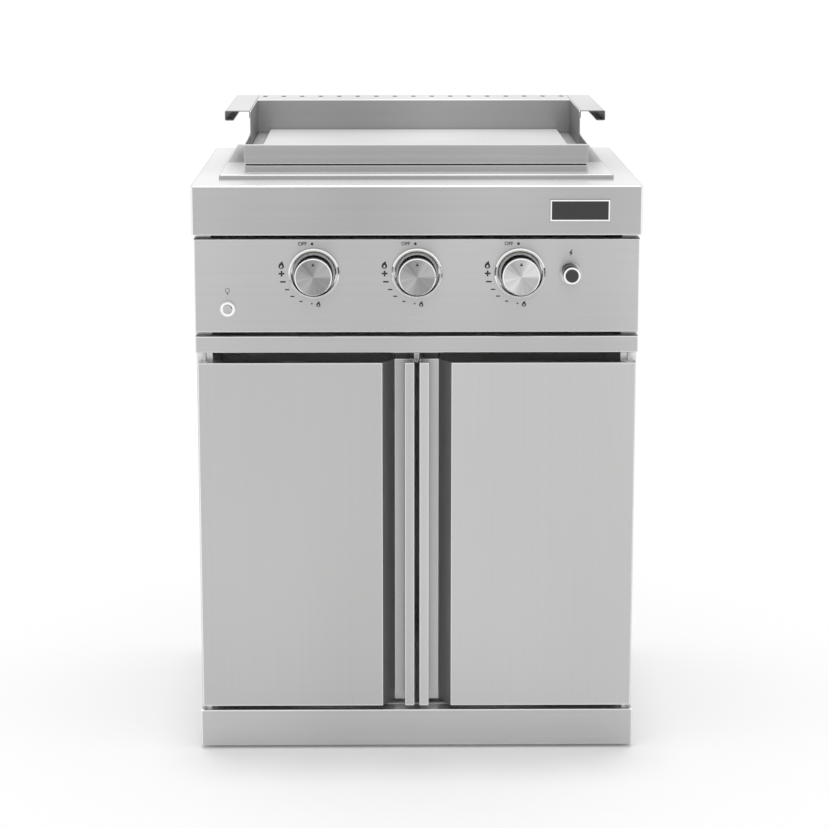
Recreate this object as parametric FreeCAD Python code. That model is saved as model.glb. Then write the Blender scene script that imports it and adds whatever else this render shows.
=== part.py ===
"""Outdoor kitchen: a gas griddle set in a worktop over a two-door cabinet of folded stainless sheet.

Millimetres. +X is right, +Y is to the back, +Z is up. The origin is on the floor, under the middle of the
whole object, so the knob faces and the worktop's back edge are equally far from it.
"""
import FreeCAD
import Part
import math
import os

# Heights: the doors fill what the other fronts leave between the worktop and the floor
WORKTOP_HEIGHT = 910.0
FOOT_LIFT = 5.0
PLINTH_HEIGHT = 60.0
DOOR_GAP_LOW = 7.0
DOOR_GAP_HIGH = 16.0
RAIL_HEIGHT = 26.5
RAIL_GAP = 6.0
PANEL_HEIGHT = 147.0
PANEL_GAP = 6.5
APRON_HEIGHT = 76.5

# Worktop
TOP_WIDTH = 700.0
TOP_DEPTH = 600.0
TOP_SHEET = 1.5
TOP_EDGE_RADIUS = 3.0
TOP_CORNER_RADIUS = 5.5
APRON_RETURN = 15.0
CUTOUT_MARGIN = 20.0

# Cabinet body
BODY_WIDTH = 692.4
BODY_SHEET = 1.2
BODY_FLANGE = 25.0
BEND = 1.0
FRONT_SETBACK = 5.5
FRONT_SHEET = 1.5
FRONT_RADIUS = 2.5
BACK_INSET = 25.0
BACK_SLOT_COUNT = 7
BACK_SLOT_PITCH = 24.0
BACK_SLOT_LENGTH = 130.0
BACK_SLOT_WIDTH = 8.0
BACK_SLOT_OFFSET = 150.0
RAIL_DEPTH = 18.0
CROSS_RAIL_HEIGHT = 40.0
FLOOR_FOLD = 20.0

# Levelling feet
FOOT_RADIUS = 20.0
FOOT_EDGE = 1.6
FOOT_STUD_RADIUS = 4.0
FOOT_STUD_LENGTH = 40.0
FOOT_INSET_X = 24.0
FOOT_INSET_Y = 30.0
FOOT_BRACKET = 62.0
FOOT_BRACKET_SHEET = 3.0
FOOT_BRACKET_LIFT = 17.0
FOOT_NUT_RADIUS = 7.5
FOOT_NUT_HEIGHT = 6.5

# Doors and their pulls
DOOR_SHEET = 1.2
DOOR_THICKNESS = 20.0
DOOR_INSET = 3.2
DOOR_CENTRE_GAP = 7.5
DOOR_FLANGE = 15.0
LINER_SHEET = 1.0
LINER_MARGIN = 1.0
PULL_STRIP = 15.5
PULL_MOUTH = 35.4
PULL_DEPTH = 35.0
PULL_SLANT = 19.7
PULL_HEM = 8.0

# Door hinges and catches
HINGE_INSET = 10.5
HINGE_DEPTH = 12.0
HINGE_PIN_RADIUS = 3.0
HINGE_GRIP = 12.0
HINGE_HEAD_RADIUS = 5.5
HINGE_HEAD_HEIGHT = 4.0
BUSH_WALL = 2.0
BUSH_FLANGE_RADIUS = 7.0
BUSH_FLANGE = 1.5
SWING_CLEARANCE = 0.6
CATCH_SHEET = 2.0
CATCH_WIDTH = 84.0
CATCH_TAB_WIDTH = 7.7
CATCH_TAB_DROP = 22.0
MAGNET_WIDTH = 24.0
MAGNET_DEPTH = 14.0
MAGNET_DROP = 40.0
MAGNET_INSET = 8.0
STRIKE_SHEET = 1.5
STRIKE_HEIGHT = 24.0

# Knobs, bezels and valves
KNOB_COUNT = 3
KNOB_PITCH = 160.0
KNOB_RISE = 93.0
KNOB_RADIUS = 30.0
KNOB_TAPER = 1.2
KNOB_REACH = 42.0
KNOB_STANDOFF = 8.5
KNOB_CHAMFER = 1.6
KNOB_WALL = 3.0
KNOB_TRAVEL = 5.0
BEZEL_RADIUS = 39.5
BEZEL_BORE = 33.5
BEZEL_DEPTH = 7.0
BEZEL_LIP = 2.0
LIGHT_RING_BORE = 26.0
LIGHT_RING_DEPTH = 2.0
STEM_RADIUS = 4.0
STEM_FLAT = 2.6
STEM_REACH = 24.0
PLUG_RADIUS = 8.0
PLUG_LENGTH = 28.0
VALVE_RADIUS = 14.0
VALVE_END = 9.0
PLUG_INSET = 1.5
VALVE_SADDLE_WIDTH = 20.0
NOZZLE_RADIUS = 4.0
NOZZLE_LENGTH = 30.0
NOZZLE_COLLAR = 6.0

# Gas manifold
MANIFOLD_RADIUS = 12.0
MANIFOLD_DROP = 36.0
MANIFOLD_OVERHANG = 40.0
INLET_RADIUS = 6.58
INLET_LENGTH = 14.0
INLET_HEX_RADIUS = 11.0
INLET_HEX_LENGTH = 9.0
SUPPLY_RADIUS = 8.0
SUPPLY_BEND = 24.0
SUPPLY_INSET = 55.0

# Igniter and lamp switch
IGNITER_INSET = 107.2
IGNITER_BASE_RADIUS = 16.5
IGNITER_BASE_DEPTH = 4.0
IGNITER_RADIUS = 13.0
IGNITER_REACH = 30.0
IGNITER_BUTTON_RADIUS = 10.0
IGNITER_BUTTON_PROUD = 4.5
IGNITER_TRAVEL = 4.0
IGNITER_BARREL_RADIUS = 11.5
IGNITER_BARREL_LENGTH = 30.0
LAMP_INSET = 51.7
LAMP_RISE = 37.5
LAMP_RADIUS = 12.5
LAMP_REACH = 4.0
LAMP_BUTTON_RADIUS = 7.2
LAMP_BUTTON_PROUD = 3.5
LAMP_TRAVEL = 3.0
LAMP_BARREL_RADIUS = 9.5
LAMP_BARREL_LENGTH = 24.0
SWITCH_NUT = 5.0
BUTTON_EDGE = 1.1

# Badge plate, left bare
BADGE_WIDTH = 93.0
BADGE_HEIGHT = 34.0
BADGE_INSET = 51.5
BADGE_SHEET = 2.0
BADGE_EDGE = 0.7

# Hob frame and burner box
HOB_WIDTH = 620.0
HOB_FRONT = 75.0
HOB_DEPTH = 490.0
HOB_HEIGHT = 9.0
HOB_RADIUS = 2.5
RIM_HEIGHT = 12.0
RIM_WIDTH = 9.0
RIM_INSET = 1.0
BOX_HEIGHT = 186.0
BOX_FLOOR_LIP = 24.0
BOX_CLEARANCE = 1.0

# Burners
BURNER_RADIUS = 17.0
VENTURI_RADIUS = 12.0
VENTURI_WALL = 1.5
VENTURI_DEPTH = 30.0
VENTURI_BEND_ANGLE = 60.0
BURNER_RISE = 72.0
BURNER_CONE = 20.0
BURNER_END_GAP = 30.0
PORT_COUNT = 17
PORT_PITCH = 12.0
PORT_WIDTH = 1.6
PORT_DEPTH = 5.0
BURNER_REST_SHEET = 2.0
BURNER_REST_WIDTH = 14.0
ELECTRODE_RADIUS = 3.0
ELECTRODE_LENGTH = 34.0

# Griddle
GRIDDLE_WIDTH = 544.0
GRIDDLE_FRONT = 102.0
GRIDDLE_DEPTH = 393.5
GRIDDLE_WALL = 30.5
GRIDDLE_SHEET = 1.5
GRIDDLE_FLOOR_RISE = 11.0
GRIDDLE_RADIUS = 2.0
GRIDDLE_FOOT_RADIUS = 0.7
GRIDDLE_PAD_RADIUS = 4.0
GRIDDLE_PAD_HEIGHT = 2.0
GRIDDLE_PAD_INSET = 28.0
GRIDDLE_LIP = 6.0
PLATE_WIDTH = 496.0
PLATE_THICKNESS = 7.0
PLATE_REAR_GAP = 6.0
FRONT_GUTTER = 42.0
DRAIN_FRONT = 31.5
DRAIN_RADIUS = 8.0
DRAIN_LENGTH = 25.0

# Splash guard and grips
GUARD_HEIGHT = 70.0
GUARD_LAP = 15.0
GUARD_WING = 230.0
GUARD_CORNER = 4.0
LEDGE_LIP = 13.0
LEDGE_HOLES = 17
LEDGE_PITCH = 32.5
LEDGE_HOLE_RADIUS = 4.2
LEDGE_HOLE_LINE = 31.0
GRIP_WIDTH = 41.5
GRIP_LIP = 16.4
GRIP_HEM = 14.0
GRIP_WELD = 12.0
GRIP_REAR_GAP = 4.0

# Drip tray and its runners
DRIP_WIDTH = 424.0
DRIP_HEIGHT = 34.0
DRIP_RIM = 9.0
DRIP_SHEET = 1.2
DRIP_HEADROOM = 7.0
DRIP_FRONT_GAP = 4.0
DRIP_PROUD = 8.0
DRIP_LIP = 10.0
RUNNER_SHEET = 1.2

# Clearances
RUNNING = 0.05
HINGE_PLAY = 0.2
SLIDING = 0.3
LOOSE = 1.5

# Screws that hold the back panel
SCREW_RADIUS = 2.0
SCREW_LENGTH = 8.0
SCREW_HEAD_RADIUS = 4.5
SCREW_HEAD_HEIGHT = 2.4
SCREW_ROWS = 4
SCREW_END_GAP = 60.0

# Limits for telling level edges and straight corners
LEVEL_MATCH = 1e-4
STRAIGHT_TURN = 1e-6

V = FreeCAD.Vector
BACK = V(0, 1, 0)
UP = V(0, 0, 1)
RIGHT = V(1, 0, 0)

# Places worked out from the sizes above
worktop_z = WORKTOP_HEIGHT
worktop_under = worktop_z - TOP_SHEET
apron_bottom = worktop_z - APRON_HEIGHT
panel_top = apron_bottom - PANEL_GAP
panel_bottom = panel_top - PANEL_HEIGHT
rail_top = panel_bottom - RAIL_GAP
rail_bottom = rail_top - RAIL_HEIGHT
door_top = rail_bottom - DOOR_GAP_HIGH
plinth_top = FOOT_LIFT + PLINTH_HEIGHT
door_bottom = plinth_top + DOOR_GAP_LOW

knob_proud = KNOB_REACH - FRONT_SETBACK
apron_y = (knob_proud - TOP_DEPTH) / 2
rear_y = apron_y + TOP_DEPTH
front_y = apron_y + FRONT_SETBACK
swing_back = DOOR_THICKNESS + LINER_SHEET - HINGE_DEPTH
swing_radius = math.hypot(HINGE_INSET, max(HINGE_DEPTH, swing_back))
front_return = HINGE_DEPTH + swing_radius + SWING_CLEARANCE
body_y = front_y + front_return
back_y = rear_y - BACK_INSET
flange_back_y = back_y - BODY_SHEET
body_x = BODY_WIDTH / 2
body_inner_x = body_x - BODY_SHEET

knob_z = panel_bottom + KNOB_RISE
igniter_x = body_x - IGNITER_INSET
lamp_x = LAMP_INSET - body_x
lamp_z = panel_bottom + LAMP_RISE
panel_back_y = front_y + FRONT_SHEET
knob_xs = [(i - (KNOB_COUNT - 1) / 2) * KNOB_PITCH for i in range(KNOB_COUNT)]
plug_y = panel_back_y + PLUG_INSET
valve_back_y = plug_y + PLUG_LENGTH + VALVE_END
manifold_y = plug_y + PLUG_LENGTH
manifold_z = knob_z - MANIFOLD_DROP
supply_x = body_inner_x - SUPPLY_INSET

griddle_y = apron_y + GRIDDLE_FRONT
griddle_x = GRIDDLE_WIDTH / 2
griddle_back_y = griddle_y + GRIDDLE_DEPTH
rim_bottom = worktop_z + HOB_HEIGHT
rim_top = rim_bottom + RIM_HEIGHT
griddle_z = rim_top + GRIDDLE_PAD_HEIGHT
floor_z = griddle_z + GRIDDLE_FLOOR_RISE
plate_z = floor_z + GRIDDLE_SHEET
guard_top = griddle_z + GUARD_HEIGHT
rim_x = griddle_x - RIM_INSET
rim_y0 = griddle_y + RIM_INSET
rim_y1 = griddle_back_y + GRIDDLE_PAD_INSET
box_x = rim_x - RIM_WIDTH
box_y0 = rim_y0 + RIM_WIDTH
box_y1 = rim_y1 - RIM_WIDTH
box_z = rim_top - BOX_HEIGHT
guard_x = griddle_x - GRIDDLE_SHEET
guard_y = griddle_back_y - 2 * GRIDDLE_SHEET
wing_y = griddle_back_y - GUARD_WING

drip_x = DRIP_WIDTH / 2
drip_rim_x = drip_x + DRIP_RIM
drip_top = box_z - DRIP_HEADROOM
drip_y0 = box_y0 + DRIP_FRONT_GAP
drip_y1 = back_y + DRIP_PROUD

door_x = body_x - DOOR_INSET
door_back_y = front_y + DOOR_THICKNESS
hinge_x = door_x - HINGE_INSET
hinge_y = front_y + HINGE_DEPTH
pull_back_y = front_y + PULL_DEPTH + DOOR_SHEET
strike_back_y = pull_back_y + STRIKE_SHEET
door_inner_x = DOOR_CENTRE_GAP / 2
pull_edge_x = door_inner_x + PULL_STRIP + PULL_MOUTH
magnet_x = door_inner_x + MAGNET_INSET


def box(x0, x1, y0, y1, z0, z1):
    """Plain block between two corners."""
    return Part.makeBox(x1 - x0, y1 - y0, z1 - z0, V(x0, y0, z0))


def rod(radius, length, x, y, z, direction):
    """Round bar that starts at a point."""
    return Part.makeCylinder(radius, length, V(x, y, z), direction)


def join(first, *others):
    """One solid from pieces that touch."""
    return first.fuse(list(others)).removeSplitter()


def mirrored(shape):
    """The same piece on the other side."""
    return shape.mirror(V(0, 0, 0), RIGHT)


def round_edges(shape, radius, chosen):
    """Fillet the edges that a test picks by their bounding box."""
    return shape.makeFillet(radius, [edge for edge in shape.Edges if chosen(edge.BoundBox)])


def flat_at(low, high, level):
    """True where an edge lies wholly at one level."""
    return abs(low - level) < LEVEL_MATCH and abs(high - level) < LEVEL_MATCH


def front_pan(x0, x1, y0, y1, z0, z1, sheet, radius):
    """Sheet folded into a shallow pan that faces forward and is open at the back."""
    outer = round_edges(box(x0, x1, y0, y1, z0, z1), radius, lambda b: flat_at(b.YMin, b.YMax, y0))
    core = box(x0 + sheet, x1 - sheet, y0 + sheet, y1 + sheet, z0 + sheet, z1 - sheet)
    core = round_edges(core, radius - sheet, lambda b: flat_at(b.YMin, b.YMax, y0 + sheet))
    return outer.cut(core)


def rounded_block(x0, x1, y0, y1, z0, z1, corner, edge, level):
    """Block with rounded upright corners and one rounded rim, top or bottom."""
    block = round_edges(box(x0, x1, y0, y1, z0, z1), corner, lambda b: b.ZLength > (z1 - z0) / 2)
    return round_edges(block, edge, lambda b: flat_at(b.ZMin, b.ZMax, level))


def folded_sheet(path, sheet, bend, place, run):
    """Sheet that follows a path of (u, v) points on one face, lies to its left and runs along a vector."""
    near = []
    far = []
    for offset, edges in ((0.0, near), (sheet, far)):
        last = None
        for i, (u, v) in enumerate(path):
            ahead = path[min(i + 1, len(path) - 1)]
            behind = path[max(i - 1, 0)]
            come = unit(behind, (u, v)) if i else unit((u, v), ahead)
            go = unit((u, v), ahead) if i < len(path) - 1 else come
            turn = math.atan2(come[0] * go[1] - come[1] * go[0], come[0] * go[0] + come[1] * go[1])
            if abs(turn) < STRAIGHT_TURN:
                point = place(u - come[1] * offset, v + come[0] * offset)
                if last is not None:
                    edges.append(Part.LineSegment(last, point).toShape())
                last = point
                continue
            side = 1 if turn > 0 else -1
            radius = bend + sheet if turn > 0 else bend
            tangent = radius * math.tan(abs(turn) / 2)
            start = (u - come[0] * tangent, v - come[1] * tangent)
            end = (u + go[0] * tangent, v + go[1] * tangent)
            centre = (start[0] - come[1] * radius * side, start[1] + come[0] * radius * side)
            towards = unit(centre, (u, v))
            reach = radius - side * offset
            first = place(start[0] - come[1] * offset, start[1] + come[0] * offset)
            middle = place(centre[0] + towards[0] * reach, centre[1] + towards[1] * reach)
            final = place(end[0] - go[1] * offset, end[1] + go[0] * offset)
            edges.append(Part.LineSegment(last, first).toShape())
            edges.append(Part.Arc(first, middle, final).toShape())
            last = final
    caps = [
        Part.LineSegment(near[0].Vertexes[0].Point, far[0].Vertexes[0].Point).toShape(),
        Part.LineSegment(near[-1].Vertexes[-1].Point, far[-1].Vertexes[-1].Point).toShape(),
    ]
    wire = Part.Wire(Part.__sortEdges__(near + far + caps))
    return Part.Face(wire).extrude(run)


def unit(start, end):
    """Direction from one flat point to another."""
    length = math.hypot(end[0] - start[0], end[1] - start[1])
    return ((end[0] - start[0]) / length, (end[1] - start[1]) / length)


def turned(profile, x, y, z):
    """Solid of revolution about an axis along +Y, from (radius, distance back) points."""
    points = [V(x + radius, y + back, z) for radius, back in profile]
    wire = Part.makePolygon(points + [points[0]])
    return Part.Face(wire).revolve(V(x, y, z), BACK, 360)


def hexagon(radius, length, x, y, z, direction):
    """Hexagonal bar, radius to its corners, that starts at a point."""
    across = RIGHT if abs(direction.x) < 0.5 else UP
    corners = []
    for k in range(7):
        arm = FreeCAD.Rotation(direction, 60 * k).multVec(across)
        corners.append(V(x, y, z) + arm * radius)
    return Part.Face(Part.makePolygon(corners)).extrude(direction * length)


def make_worktop():
    """Folded top with a deep apron all round, a return along its foot and the hob cut-out."""
    x = TOP_WIDTH / 2
    outer = rounded_block(-x, x, apron_y, rear_y, apron_bottom, worktop_z,
                          TOP_CORNER_RADIUS, TOP_EDGE_RADIUS, worktop_z)
    inner = rounded_block(-x + TOP_SHEET, x - TOP_SHEET, apron_y + TOP_SHEET, rear_y - TOP_SHEET,
                          apron_bottom + TOP_SHEET, worktop_under,
                          TOP_CORNER_RADIUS - TOP_SHEET, TOP_EDGE_RADIUS - TOP_SHEET, worktop_under)
    mouth_in = TOP_SHEET + APRON_RETURN
    mouth_x = body_x + SLIDING
    mouth = box(-mouth_x, mouth_x, apron_y + mouth_in, rear_y - mouth_in,
                apron_bottom, apron_bottom + TOP_SHEET)
    cutout = box(-box_x - CUTOUT_MARGIN, box_x + CUTOUT_MARGIN, box_y0 - CUTOUT_MARGIN / 2,
                 box_y1 + CUTOUT_MARGIN / 2, worktop_under, worktop_z)
    return outer.cut([inner, mouth, cutout])


def make_side_panel():
    """Right side: one sheet with a stiffening fold along its front and back."""
    path = [(body_x - BODY_FLANGE, body_y), (body_x, body_y), (body_x, flange_back_y),
            (body_x - BODY_FLANGE, flange_back_y)]
    height = worktop_under - FOOT_LIFT
    panel = folded_sheet(path, BODY_SHEET, BEND, lambda u, v: V(u, v, FOOT_LIFT), UP * height)
    return panel.cut(screw_holes())


def screw_places():
    """Screw centres up both back edges of the cabinet."""
    x = body_x - BODY_FLANGE / 2
    low = plinth_top + SCREW_END_GAP
    step = (panel_bottom - SCREW_END_GAP - low) / (SCREW_ROWS - 1)
    return [(side * x, low + step * row) for side in (-1, 1) for row in range(SCREW_ROWS)]


def screw_holes():
    """Clearance holes for the back panel's screws."""
    length = 2 * SCREW_LENGTH
    return [rod(SCREW_RADIUS + SLIDING, length, x, back_y - SCREW_LENGTH, z, BACK) for x, z in screw_places()]


def make_back_screws():
    """Pan-head screws through the back panel into the side folds."""
    solids = []
    for x, z in screw_places():
        shank = rod(SCREW_RADIUS, SCREW_LENGTH, x, back_y - SCREW_LENGTH, z, BACK)
        head = rod(SCREW_HEAD_RADIUS, SCREW_HEAD_HEIGHT, x, back_y, z, BACK)
        dome = SCREW_HEAD_HEIGHT / 2
        head = round_edges(head, dome, lambda b: flat_at(b.YMin, b.YMax, back_y + SCREW_HEAD_HEIGHT))
        solids.append(join(shank, head))
    return Part.makeCompound(solids)


def make_back_panel():
    """Flat back with two stacks of vent slots, a mouth for the drip tray and a hole for the gas supply."""
    panel = box(-body_inner_x, body_inner_x, flange_back_y, back_y, FOOT_LIFT, apron_bottom)
    mouth_x = drip_rim_x + RUNNER_SHEET + LOOSE
    mouth = box(-mouth_x, mouth_x, flange_back_y, back_y, drip_top - DRIP_HEIGHT - LOOSE, box_z)
    cuts = [mouth] + screw_holes()
    middle = (plinth_top + drip_top) / 2
    tip = BACK_SLOT_WIDTH / 2
    straight = BACK_SLOT_LENGTH - BACK_SLOT_WIDTH
    for i in range(BACK_SLOT_COUNT):
        z = middle + (i - (BACK_SLOT_COUNT - 1) / 2) * BACK_SLOT_PITCH
        for side in (-1, 1):
            x0 = side * BACK_SLOT_OFFSET - straight / 2
            x1 = x0 + straight
            cuts.append(box(x0, x1, flange_back_y, back_y, z - tip, z + tip))
            cuts += [rod(tip, BODY_SHEET, x, flange_back_y, z, BACK) for x in (x0, x1)]
    cuts.append(rod(SUPPLY_RADIUS + LOOSE, BODY_SHEET, supply_x, flange_back_y, manifold_z, BACK))
    return panel.cut(cuts)


def make_cabinet_floor():
    """Bottom shelf: a pan turned down at its edges between the side panels."""
    y0 = body_y + BODY_SHEET
    y1 = flange_back_y - BODY_SHEET
    top = plinth_top + BODY_SHEET
    outer = box(-body_inner_x, body_inner_x, y0, y1, top - FLOOR_FOLD, top)
    core = box(-body_inner_x + BODY_SHEET, body_inner_x - BODY_SHEET, y0 + BODY_SHEET, y1 - BODY_SHEET,
               top - FLOOR_FOLD, plinth_top)
    return round_edges(outer, 2 * BEND, lambda b: b.ZLength > FLOOR_FOLD / 2).cut(core)


def make_cross_rail(y, facing):
    """Channel across the cabinet that carries the worktop; its open side faces forward or back."""
    low = worktop_under - CROSS_RAIL_HEIGHT
    path = [(y + RAIL_DEPTH, low), (y, low), (y, worktop_under), (y + RAIL_DEPTH, worktop_under)]
    if facing < 0:
        path = [(2 * y + RAIL_DEPTH - u, v) for u, v in reversed(path)]
    path.reverse()
    start = -body_inner_x
    return folded_sheet(path, BODY_SHEET, BEND, lambda u, v: V(start, u, v), RIGHT * (2 * body_inner_x))


def pivot_holes(z0, z1):
    """Holes for both hinge pins between two heights."""
    radius = HINGE_PIN_RADIUS + RUNNING
    return [rod(radius, z1 - z0, side * hinge_x, hinge_y, z0, UP) for side in (-1, 1)]


def make_plinth():
    """Kick board folded back at every edge, with the lower hinge pins in its top fold."""
    pan = front_pan(-body_x, body_x, front_y, body_y, FOOT_LIFT, plinth_top, FRONT_SHEET, FRONT_RADIUS)
    return pan.cut(pivot_holes(plinth_top - 2 * FRONT_SHEET, plinth_top))


def make_front_rail():
    """Bar over the doors, with the upper hinge pins in its lower fold."""
    pan = front_pan(-body_x, body_x, front_y, body_y, rail_bottom, rail_top, FRONT_SHEET, FRONT_RADIUS)
    return pan.cut(pivot_holes(rail_bottom, rail_bottom + 2 * FRONT_SHEET))


def make_control_panel():
    """Folded front with holes for the stems, the igniter and the lamp switch."""
    pan = front_pan(-body_x, body_x, front_y, body_y, panel_bottom, panel_top, FRONT_SHEET, FRONT_RADIUS)
    holes = [rod(STEM_RADIUS + LOOSE, FRONT_SHEET, x, front_y, knob_z, BACK) for x in knob_xs]
    holes.append(rod(IGNITER_BARREL_RADIUS + SLIDING, FRONT_SHEET, igniter_x, front_y, knob_z, BACK))
    holes.append(rod(LAMP_BARREL_RADIUS + SLIDING, FRONT_SHEET, lamp_x, front_y, lamp_z, BACK))
    return pan.cut(holes)


def foot_places():
    """Foot centres under the four corners."""
    x = body_inner_x - FOOT_INSET_X
    ys = (body_y + BODY_SHEET + FOOT_INSET_Y, flange_back_y - BODY_SHEET - FOOT_INSET_Y)
    return [(side * x, y) for side in (-1, 1) for y in ys]


def make_levelling_feet():
    """Round pads on threaded studs."""
    solids = []
    for x, y in foot_places():
        pad = rod(FOOT_RADIUS, FOOT_LIFT, x, y, 0, UP)
        pad = round_edges(pad, FOOT_EDGE, lambda b: flat_at(b.ZMin, b.ZMax, FOOT_LIFT))
        solids.append(join(pad, rod(FOOT_STUD_RADIUS, FOOT_STUD_LENGTH, x, y, FOOT_LIFT, UP)))
    return Part.makeCompound(solids)


def make_foot_brackets():
    """Corner plates that the studs pass through, set against the side panels and their folds."""
    z = FOOT_LIFT + FOOT_BRACKET_LIFT
    y0 = body_y + BODY_SHEET
    y1 = flange_back_y - BODY_SHEET
    solids = []
    for x, y in foot_places():
        start = y0 if y < (y0 + y1) / 2 else y1 - FOOT_BRACKET
        plate = box(body_inner_x - FOOT_BRACKET, body_inner_x, start, start + FOOT_BRACKET,
                    z, z + FOOT_BRACKET_SHEET)
        plate = round_edges(plate, 2 * BEND, lambda b: b.ZLength > FOOT_BRACKET_SHEET / 2)
        plate = plate if x > 0 else mirrored(plate)
        solids.append(plate.cut(rod(FOOT_STUD_RADIUS + SLIDING, FOOT_BRACKET_SHEET, x, y, z, UP)))
    return Part.makeCompound(solids)


def make_foot_nuts():
    """Lock nuts above and below each corner plate."""
    z = FOOT_LIFT + FOOT_BRACKET_LIFT
    solids = []
    for x, y in foot_places():
        for low in (z - FOOT_NUT_HEIGHT, z + FOOT_BRACKET_SHEET):
            nut = hexagon(FOOT_NUT_RADIUS, FOOT_NUT_HEIGHT, x, y, low, UP)
            solids.append(nut.cut(rod(FOOT_STUD_RADIUS + RUNNING, FOOT_NUT_HEIGHT, x, y, low, UP)))
    return Part.makeCompound(solids)


def make_hinge_pins():
    """Four pins: two drop from the rail and two stand in the plinth with a bearing collar."""
    solids = []
    high = rail_bottom + FRONT_SHEET
    low = plinth_top - FRONT_SHEET
    collar = DOOR_GAP_LOW - BUSH_FLANGE
    for side in (-1, 1):
        x = side * hinge_x
        drop = rod(HINGE_PIN_RADIUS, high - door_top + HINGE_GRIP, x, hinge_y, door_top - HINGE_GRIP, UP)
        solids.append(join(drop, rod(HINGE_HEAD_RADIUS, HINGE_HEAD_HEIGHT, x, hinge_y, high, UP)))
        stand = rod(HINGE_PIN_RADIUS, door_bottom + HINGE_GRIP - low, x, hinge_y, low, UP)
        head = rod(HINGE_HEAD_RADIUS, HINGE_HEAD_HEIGHT, x, hinge_y, low - HINGE_HEAD_HEIGHT, UP)
        solids.append(join(stand, head, rod(HINGE_HEAD_RADIUS, collar, x, hinge_y, plinth_top, UP)))
    return Part.makeCompound(solids)


def make_catch_bracket():
    """Plate under the rail that carries the magnets, with a round-ended tab down its middle."""
    rear = strike_back_y + MAGNET_DEPTH
    half = CATCH_WIDTH / 2
    plate = box(-half, half, front_y + HINGE_DEPTH, rear, rail_bottom - CATCH_SHEET, rail_bottom)
    tab_r = CATCH_TAB_WIDTH / 2
    tab_z = rail_bottom - CATCH_TAB_DROP + tab_r
    tab = box(-tab_r, tab_r, strike_back_y, strike_back_y + CATCH_SHEET, tab_z, rail_bottom)
    tip = rod(tab_r, CATCH_SHEET, 0, strike_back_y, tab_z, BACK)
    return join(plate, tab, tip)


def make_door_magnets():
    """Two magnet blocks behind the doors' meeting edges."""
    block = box(magnet_x, magnet_x + MAGNET_WIDTH, strike_back_y, strike_back_y + MAGNET_DEPTH,
                rail_bottom - CATCH_SHEET - MAGNET_DROP, rail_bottom - CATCH_SHEET)
    block = round_edges(block, LOOSE, lambda b: b.ZLength > MAGNET_DROP / 2)
    return Part.makeCompound([block, mirrored(block)])


def make_door_skin():
    """Right door: one sheet folded round the outer edge, across the front and into the hook pull."""
    hook_x = door_inner_x + DOOR_SHEET
    strip_x = door_inner_x + PULL_STRIP - DOOR_SHEET
    deep_y = front_y + PULL_DEPTH
    inside_y = front_y + DOOR_SHEET
    path = [(strip_x, front_y + PULL_HEM), (strip_x, inside_y), (hook_x, inside_y), (hook_x, deep_y),
            (pull_edge_x - PULL_SLANT, deep_y), (pull_edge_x, front_y), (door_x, front_y),
            (door_x, door_back_y), (door_x - DOOR_FLANGE, door_back_y)]
    skin = folded_sheet(path, DOOR_SHEET, BEND, lambda u, v: V(u, v, door_bottom),
                        UP * (door_top - door_bottom))
    slope = PULL_SLANT / PULL_DEPTH
    edge = door_x - DOOR_SHEET
    corners = [(pull_edge_x - slope * DOOR_SHEET + DOOR_SHEET, inside_y), (edge, inside_y),
               (edge, door_back_y), (pull_edge_x - slope * DOOR_THICKNESS + DOOR_SHEET, door_back_y)]
    pieces = []
    for z in (door_bottom, door_top - DOOR_SHEET):
        points = [V(x, y, z) for x, y in corners]
        pieces.append(Part.Face(Part.makePolygon(points + [points[0]])).extrude(UP * DOOR_SHEET))
    holes = [rod(HINGE_PIN_RADIUS + HINGE_PLAY + BUSH_WALL, DOOR_SHEET, hinge_x, hinge_y, z, UP)
             for z in (door_bottom, door_top - DOOR_SHEET)]
    return join(skin, *pieces).cut(holes)


def make_door_liner():
    """Flat inner skin that closes the back of the right door."""
    slope = PULL_SLANT / PULL_DEPTH
    near = pull_edge_x - slope * (DOOR_THICKNESS + LINER_SHEET) + 2 * DOOR_SHEET
    return box(near, door_x - LINER_MARGIN, door_back_y, door_back_y + LINER_SHEET,
               door_bottom + LINER_MARGIN, door_top - LINER_MARGIN)


def make_door_bushes():
    """Flanged bushes in the right door's top and bottom."""
    radius = HINGE_PIN_RADIUS + HINGE_PLAY + BUSH_WALL
    solids = []
    for flange_z, body_z in ((door_top, door_top - HINGE_GRIP), (door_bottom - BUSH_FLANGE, door_bottom)):
        body = rod(radius, HINGE_GRIP, hinge_x, hinge_y, body_z, UP)
        flange = rod(BUSH_FLANGE_RADIUS, BUSH_FLANGE, hinge_x, hinge_y, flange_z, UP)
        bore = rod(HINGE_PIN_RADIUS + HINGE_PLAY, HINGE_GRIP + BUSH_FLANGE, hinge_x, hinge_y,
                   min(flange_z, body_z), UP)
        solids.append(join(body, flange).cut(bore))
    return Part.makeCompound(solids)


def make_door_strike():
    """Steel plate on the back of the right door's pull, for the magnet."""
    top = door_top - LINER_MARGIN
    return box(magnet_x, magnet_x + PULL_STRIP, pull_back_y, strike_back_y, top - STRIKE_HEIGHT, top)


def make_bezels():
    """Raised rings round the knobs."""
    profile = [(BEZEL_BORE, 0), (BEZEL_BORE, -BEZEL_DEPTH + BEZEL_LIP),
               (BEZEL_BORE + BEZEL_LIP, -BEZEL_DEPTH), (BEZEL_RADIUS - BEZEL_LIP, -BEZEL_DEPTH),
               (BEZEL_RADIUS, -BEZEL_DEPTH + BEZEL_LIP), (BEZEL_RADIUS, 0)]
    return Part.makeCompound([turned(profile, x, front_y, knob_z) for x in knob_xs])


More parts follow.
